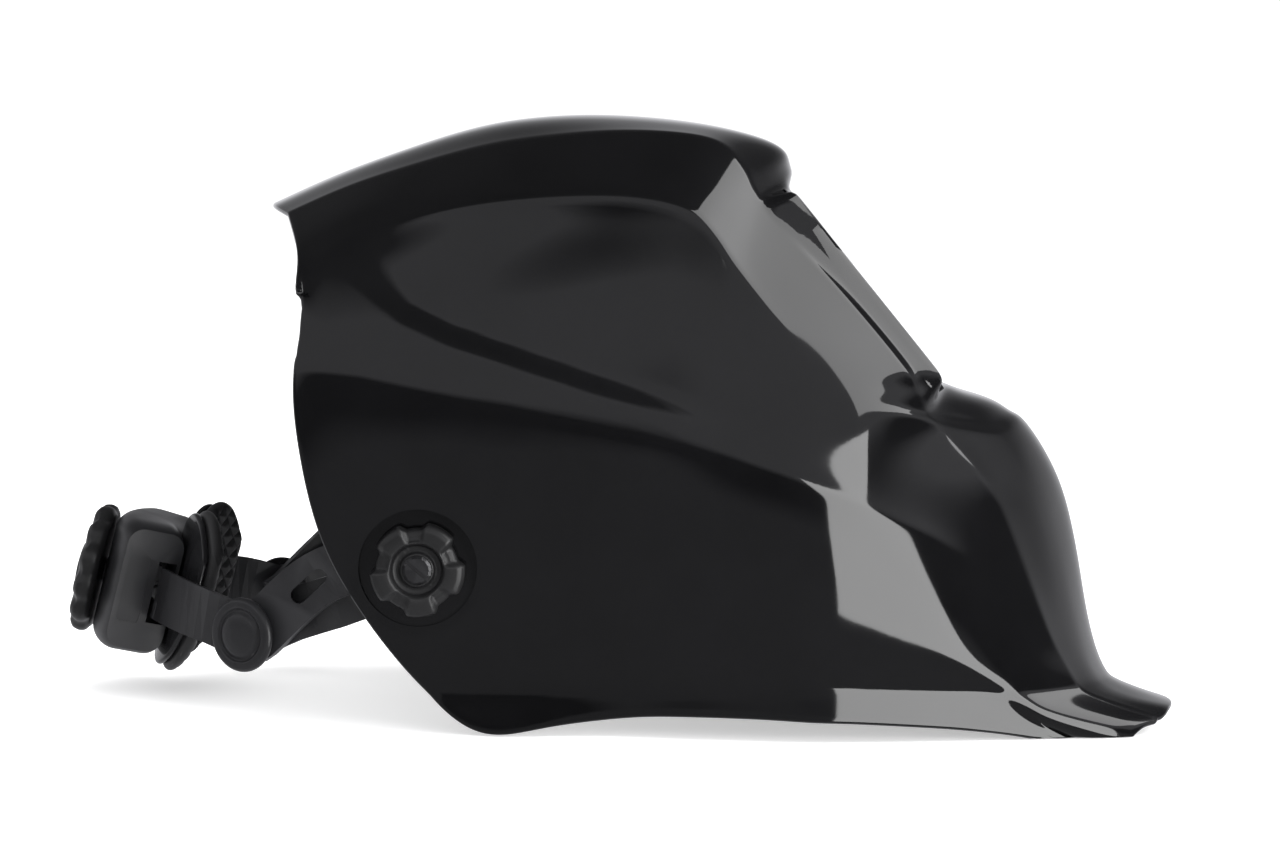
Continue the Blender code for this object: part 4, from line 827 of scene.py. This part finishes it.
def make_buttons():
    """The domed covers over the joints of arm, band and strap."""
    foot = 8.95
    top = 12.55
    profile = softened([
        (0, -4.4), (6.6, -4.4), (7.0, -1.4), (4.0, -1.4), (4.0, foot), (14.0, foot), (14.0, foot + 1.6),
        (13.0, top - 0.7), (10.4, top - 0.4), (9.6, top - 1.5), (8.9, top - 1.3), (7.6, top - 0.2),
        (5.6, top + 0.35), (3.0, top + 0.7), (0, top + 0.8),
    ], 0.7)
    out = Vector((-math.sin(BUTTON_TURN), math.cos(BUTTON_TURN), 0))
    place = frame_of(BUTTON, out, (0, 0, 1))
    for side, turn in (("L", 1), ("R", -1)):
        made = add_mesh(f"button_cover_{side}", *turned(profile, place, 96), SATIN, 40.0, turn < 0)
        finish(made, "headgear", f"pivot_button_{side}")


def band_strip(section, stations, spot):
    """A closed section of (out, high) pairs carried through the stations by spot(station, out, high)."""
    points = [spot(at, out, high) for at in stations for out, high in section]
    faces = grid_faces(len(stations), len(section), False, True)
    faces.append(tuple(range(len(section)))[::-1])
    faces.append(tuple(range(len(points) - len(section), len(points))))
    return points, faces


def make_housing():
    """The curved ratchet box: round edges, a hollow through it for the straps, a blank end panel."""
    middle = (HOUSING_IN + HOUSING_OUT) / 2
    depth = HOUSING_OUT - HOUSING_IN
    outline = [(b + middle, a) for a, b in rounded(2 * HOUSING_HALF, depth, HOUSING_ROUND, 8)]

    def spot(at, out, high):
        tuck = 1 - HOUSING_TUCK * abs(at) ** 8
        reach = STRAP_OUT + middle + (out - middle) * tuck
        return rear_point(180 + HOUSING_ANGLE * at, reach, high * tuck)

    def straight(at, out, high):
        return rear_point(180 + HOUSING_ANGLE * at, STRAP_OUT + out, high)

    stations = [-math.cos(math.pi * i / 48) for i in range(49)]
    housing = add_mesh("ratchet_box", *band_strip(outline, stations, spot), SATIN)
    (low, high), half = HOLLOW
    hollow = [(low, -half), (high, -half), (high, half), (low, half)]
    through = [HOLLOW_RUN * (i / 20 - 1) for i in range(41)]
    boolean(housing, add_mesh("hollow", *band_strip(hollow, through, straight)), "DIFFERENCE")
    for end in (-1, 1):
        here = straight(end, PANEL_OUT, 0)
        inside = straight(end * 0.9, PANEL_OUT, 0)
        panel = prism(rounded(*PANEL), -PANEL_SINK, 3.0, frame_of(here, here - inside, rear_up))
        boolean(housing, add_mesh("panel", *panel), "DIFFERENCE")
    tidy_mesh(housing, 32.0)
    finish(housing, "rear_band", "ratchet_housing")


def ratchet_shape(angle, radius, height):
    """Twelve rounded finger lobes, deepest at the rim."""
    bite = (0.5 + 0.5 * math.cos(RATCHET_LOBES * angle)) ** 1.5
    outer = float(smooth(radius, 17.0, 25.0))
    lift = float(smooth(height, KNOB_FACE + 3, RATCHET_BACK))
    return radius * (1 - RATCHET_BITE * bite * outer), height - RATCHET_SINK * bite * outer * lift


def make_ratchet_knob():
    """The adjusting knob with a sunk ring round its cap."""
    profile = softened([
        (5.2, KNOB_FACE), (23.2, KNOB_FACE), (25.4, KNOB_FACE + 1.6),
        (RATCHET_RADIUS, KNOB_FACE + 4.0), (25.3, RATCHET_BACK - 1.8), (23.0, RATCHET_BACK - 0.2),
        (19.5, RATCHET_BACK), (16.0, RATCHET_BACK - 1.2), (12.0, RATCHET_BACK - 1.2),
        (10.6, RATCHET_BACK), (5.2, RATCHET_BACK),
    ], 0.8)
    place = frame_of(rear_point(180, STRAP_OUT), -rear_along, rear_up)
    knob = add_mesh("ratchet_grip", *turned(profile, place, 240, ratchet_shape), MATTE, 40.0)
    finish(knob, "ratchet", "ratchet_knob")


def wing_edges(share, top, bottom):
    """Upper and lower edge of the two-winged pad at a share of its half width."""
    wing = math.sin(math.pi * min(1.0, abs(share) * 0.86)) ** 1.2
    end = math.sqrt(max(0.0, 1 - max(0.0, (abs(share) - 0.72) / 0.28) ** 2))
    middle = (top - bottom) * 0.12
    high = middle + (0.42 + 0.58 * wing) * (top - middle) * (0.45 + 0.55 * end)
    depth = (0.55 + 0.45 * wing) * (0.3 + 0.7 * end) * (1 - 0.35 * abs(share))
    return middle + (bottom - middle) * depth, high


def winged(half_angle, top, bottom, back, front, edge, relief=None, columns=150, rows=90):
    """The two-winged plate with rounded edges; relief(across, high) lifts its front."""
    middle = (back + front) / 2
    half = (back - front) / 2
    arc = math.radians(half_angle) * HEAD_Y
    points = []
    for layer in (1, -1):
        for i in range(columns):
            share = -math.cos(math.pi * i / (columns - 1))
            low, high = wing_edges(share, top, bottom)
            for j in range(rows):
                up = (1 - math.cos(math.pi * j / (rows - 1))) / 2
                at = low + (high - low) * up
                inset = min(at - low, high - at, arc * (1 - abs(share)))
                swell = math.sqrt(max(0.0, 1 - (1 - min(inset, edge) / edge) ** 2))
                out = middle + layer * half * swell
                if relief and layer < 0:
                    out -= relief(arc * share, at) * min(1.0, inset / 5.0)
                points.append(rear_point(180 + half_angle * share, out, at))
    faces = grid_faces(columns, rows)
    size = columns * rows
    faces += [tuple(size + k for k in reversed(face)) for face in faces]
    return points, faces


def diamonds(across, high):
    """Faceted pyramids in a diamond net, with a groove between them."""
    pitch = 8.5
    lift = 1.5
    flat_top = 0.32
    a = abs(((across + high) / pitch) % 1.0 - 0.5)
    b = abs(((across - high) / pitch) % 1.0 - 0.5)
    return lift * min(0.5 - max(a, b), flat_top) / flat_top


def make_rear_pad():
    """A glossy backing moulding and the soft, diamond-embossed pad it carries."""
    plate = winged(half_angle=31, top=33, bottom=-37, back=-4.8, front=-7.4, edge=1.3)
    backing = add_mesh("pad_backing", *plate, PAD_GLOSS, 50.0)
    finish(backing, "rear_band", "rear_pad_shell")
    cushion = winged(
        half_angle=33, top=35, bottom=-39, back=-7.8, front=-12.6, edge=3.2,
        relief=diamonds, columns=230, rows=150,
    )
    pad = add_mesh("rear_comfort_pad", *cushion, PAD_RUBBER, 28.0)
    finish(pad, "rear_band", "rear_pad")


def make_sweatband():
    """Padded towelling round the forehead: swollen between its seams, puckered along its stitches."""
    half_angle = 66.0
    half_height = 14.6
    flat_side = -1.3
    soft_side = -7.3
    turns = 56
    quilt_pitch = 24.0

    def spot(at, step):
        angle = 2 * math.pi * step / turns
        close = math.sqrt(max(0.02, 1 - max(0.0, (abs(at) - 0.9) / 0.1) ** 2))
        run = at * math.radians(half_angle) * FRONT_REACH
        pucker = 0.35 * math.sin(run * 0.9 + 1.3 * math.sin(run * 0.31))
        seam = math.exp(-((abs(math.sin(angle)) - 0.80) / 0.07) ** 2)
        rise = math.copysign(abs(math.sin(angle)) ** 0.75, math.sin(angle))
        high = half_height * rise * (0.82 + 0.18 * close)
        swell = math.copysign(abs(math.cos(angle)) ** 0.7, math.cos(angle))
        middle = (flat_side + soft_side) / 2
        out = middle + (flat_side - middle) * swell * close
        if swell < 0:
            quilt = math.exp(-((run / quilt_pitch) % 1.0 - 0.5) ** 2 / 0.004)
            sunk = seam * (0.9 + pucker) + 0.7 * quilt * abs(math.cos(angle)) + 0.25 * pucker
            out += sunk * close
        return ring_point(front_along, front_up, FRONT_REACH, math.radians(half_angle) * at, out, high)

    stations = [-1 + 2 * i / 260 for i in range(261)]
    points = [spot(at, step) for at in stations for step in range(turns)]
    faces = grid_faces(len(stations), turns, False, True)
    faces.append(tuple(range(turns))[::-1])
    faces.append(tuple(range(len(points) - turns, len(points))))
    band = add_mesh("sweatband_pad", points, faces, FABRIC, 60.0)
    finish(band, "headgear", "sweatband")


make_buttons()
make_housing()
make_ratchet_knob()
make_rear_pad()
make_sweatband()


# --- CAD nodes that keep their shape ----------------------------------------------------------

KEPT = {
    "outer_cover_lens": COVER, "inner_cover_lens": COVER,
    "filter_glass": FILTER, "solar_cell": SOLAR,
    "filter_holder": FRAME_BLACK, "filter_cartridge": FRAME_BLACK, "filter_retainer": FRAME_BLACK,
    "battery_tray_L": FRAME_BLACK, "battery_tray_R": FRAME_BLACK,
    "coin_cell_L": STEEL, "coin_cell_R": STEEL, "arc_sensor_L": SENSOR, "arc_sensor_R": SENSOR,
    "retainer_hinge_pin": STEEL, "retainer_latch": RED,
    "shade_dial": GREY, "sensitivity_dial": GREY, "delay_dial": GREY, "test_button": RED,
    "friction_washer_L": RUBBER, "friction_washer_R": RUBBER,
    "knob_screw_L": SCREW_DARK, "knob_screw_R": SCREW_DARK,
    "pivot_block_L": SATIN, "pivot_block_R": SATIN, "pivot_bolt_L": STEEL, "pivot_bolt_R": STEEL,
    "front_band": STRAP, "side_arm_L": SATIN, "side_arm_R": SATIN,
    "crown_strap_L": STRAP, "crown_strap_R": STRAP, "crown_strap_front": STRAP,
    "crown_peg": SATIN, "rear_strap_L": STRAP, "rear_strap_R": STRAP,
    "ratchet_pinion": SATIN, "ratchet_cap": SATIN,
}
THIN = {"outer_cover_lens", "inner_cover_lens", "filter_glass", "solar_cell"}
EDGE_ROUND = 0.0004
THIN_EDGE_ROUND = 0.0002


def finish_cad():
    """A material and softly rounded edges for each node that is shown as the CAD has it."""
    for name, look in KEPT.items():
        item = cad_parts[name]
        item.data.materials.clear()
        item.data.materials.append(look)
        weld = item.modifiers.new("weld", "WELD")
        weld.merge_threshold = 1e-6
        bevel = item.modifiers.new("soft_edges", "BEVEL")
        bevel.width = THIN_EDGE_ROUND if name in THIN else EDGE_ROUND
        bevel.segments = 2
        bevel.limit_method = "ANGLE"
        bevel.angle_limit = math.radians(35)
        bevel.harden_normals = False
        bevel.use_clamp_overlap = True


finish_cad()


# --- Studio ---------------------------------------------------------------------------------

# Brightness of the room towards the camera, by the sine of the height mapped to 0..1.
FRONT_BANDS = (
    (0.0, 0.42), (0.44, 0.36), (0.49, 0.05), (0.60, 0.08),
    (0.66, 0.95), (0.80, 1.0), (0.86, 0.2), (1.0, 0.1),
)
# Brightness of the backdrop, by the same height.
BACK_BANDS = ((0.0, 0.8), (0.56, 0.8), (0.66, 0.35), (0.76, 0.12), (1.0, 0.08))
BACK_FROM = (0.05, 0.40)  # the y of a direction, from the room to the backdrop
FILL = 1.0
SEEN = 1.0
FLOOR_HALF = 40.0
FLOOR_DROP = 0.0004  # keeps the floor just under the resting points
FLOOR_GLOW = 0.42
SENSOR_WIDTH = 36.0
LENS = 88.453
LOOK_FROM = (-25.2, -1250.7, 191.9)  # in the design frame, like the turns
LOOK_YAW = math.radians(1.12)
LOOK_DOWN = math.radians(3.40)


def white_floor():
    """A wide pale floor that glows a little, so that it meets the backdrop without a line."""
    half = FLOOR_HALF
    low = -FLOOR_DROP
    corners = [(-half, -half, low), (half, -half, low), (half, half, low), (-half, half, low)]
    mesh = bpy.data.meshes.new("floor")
    mesh.from_pydata(corners, [], [(0, 1, 2, 3)])
    floor = bpy.data.objects.new("floor", mesh)
    bpy.context.scene.collection.objects.link(floor)
    made, tree, shader = new_material("floor_white")
    grain = noise_of(tree, 3.0, 3.0)
    base = tint_of(tree, grain, (0.925, 0.925, 0.93), (0.94, 0.94, 0.945))
    tree.links.new(base, shader.inputs["Base Color"])
    shader.inputs["Roughness"].default_value = 0.9
    shader.inputs["Specular IOR Level"].default_value = 0.1
    shader.inputs["Emission Color"].default_value = (1, 1, 1, 1)
    shader.inputs["Emission Strength"].default_value = FLOOR_GLOW
    mesh.materials.append(made)
    floor.visible_glossy = False


def softbox(name, spot, target, width, height, power, mirrored=True):
    """A rectangular lamp, hidden from the camera and, unless mirrored, from the gloss."""
    data = bpy.data.lights.new(name, "AREA")
    data.shape = "RECTANGLE"
    data.size = width
    data.size_y = height
    data.energy = power
    made = bpy.data.objects.new(name, data)
    made.location = spot
    made.rotation_euler = (Vector(target) - Vector(spot)).to_track_quat("-Z", "Y").to_euler()
    made.visible_camera = False
    made.visible_glossy = mirrored
    bpy.context.scene.collection.objects.link(made)


def bands(tree, height, stops):
    """A grey that follows the stops as the height goes from 0 to 1."""
    made = tree.nodes.new("ShaderNodeValToRGB")
    elements = made.color_ramp.elements
    for position, grey in stops[1:-1]:
        elements.new(position)
    for element, (position, grey) in zip(elements, stops):
        element.position = position
        element.color = (grey, grey, grey * 1.04, 1)
    tree.links.new(height, made.inputs["Fac"])
    return made.outputs["Color"]


def environment(tree):
    """What the gloss reflects: a white backdrop, a pale ceiling towards the camera, dark overhead."""
    where = tree.nodes.new("ShaderNodeTexCoord")
    split = tree.nodes.new("ShaderNodeSeparateXYZ")
    tree.links.new(where.outputs["Generated"], split.inputs[0])
    height = spread_of(tree, split.outputs["Z"], 0, 1, -1, 1)
    mixed = tree.nodes.new("ShaderNodeMix")
    mixed.data_type = "RGBA"
    tree.links.new(spread_of(tree, split.outputs["Y"], 0, 1, *BACK_FROM), mixed.inputs["Factor"])
    tree.links.new(bands(tree, height, FRONT_BANDS), mixed.inputs[MIX_A])
    tree.links.new(bands(tree, height, BACK_BANDS), mixed.inputs[MIX_B])
    return mixed.outputs[MIX_OUT]


def studio_world():
    """White to look at, even fill for matte surfaces, and the studio for the gloss."""
    world = bpy.data.worlds.new("studio")
    bpy.context.scene.world = world
    world.use_nodes = True
    tree = world.node_tree
    tree.nodes.clear()
    room = tree.nodes.new("ShaderNodeBackground")
    tree.links.new(environment(tree), room.inputs["Color"])
    fill = tree.nodes.new("ShaderNodeBackground")
    fill.inputs["Strength"].default_value = FILL
    seen = tree.nodes.new("ShaderNodeBackground")
    seen.inputs["Strength"].default_value = SEEN
    for light in (fill, seen):
        light.inputs["Color"].default_value = (1, 1, 1, 1)
    rays = tree.nodes.new("ShaderNodeLightPath")
    lit = tree.nodes.new("ShaderNodeMixShader")
    tree.links.new(rays.outputs["Is Diffuse Ray"], lit.inputs["Fac"])
    tree.links.new(room.outputs[0], lit.inputs[1])
    tree.links.new(fill.outputs[0], lit.inputs[2])
    pick = tree.nodes.new("ShaderNodeMixShader")
    tree.links.new(rays.outputs["Is Camera Ray"], pick.inputs["Fac"])
    tree.links.new(lit.outputs[0], pick.inputs[1])
    tree.links.new(seen.outputs[0], pick.inputs[2])
    out = tree.nodes.new("ShaderNodeOutputWorld")
    tree.links.new(pick.outputs[0], out.inputs["Surface"])


def photo_camera():
    """A long lens beside the helmet, a little above its middle and turned slightly down."""
    turn = TO_WORLD.to_3x3().normalized()
    level = math.cos(LOOK_DOWN)
    ahead = (math.sin(LOOK_YAW) * level, math.cos(LOOK_YAW) * level, -math.sin(LOOK_DOWN))
    ahead = turn @ Vector(ahead)
    data = bpy.data.cameras.new("camera")
    data.lens = LENS
    data.sensor_width = SENSOR_WIDTH
    data.clip_end = 100.0
    camera = bpy.data.objects.new("camera", data)
    bpy.context.scene.collection.objects.link(camera)
    right = ahead.cross(turn @ Vector((0, 0, 1))).normalized()
    rows = Matrix((right, right.cross(ahead), -ahead)).transposed().to_4x4()
    rows.translation = TO_WORLD @ Vector(LOOK_FROM)
    camera.matrix_world = rows
    bpy.context.scene.camera = camera


white_floor()
studio_world()
softbox("cheek", (1.17, -1.02, -0.02), (0.08, 0, 0.1), 0.82, 1.3, 36)
softbox("window", (1.42, -0.32, 1.22), (0.1, 0, 0.15), 1.25, 0.9, 19)
softbox("overhead", (0.1, 0.5, 1.7), (0, 0, 0.1), 2.2, 1.4, 14, False)
photo_camera()
bpy.context.scene.view_settings.view_transform = "Standard"
bpy.context.scene.view_settings.exposure = 0.1
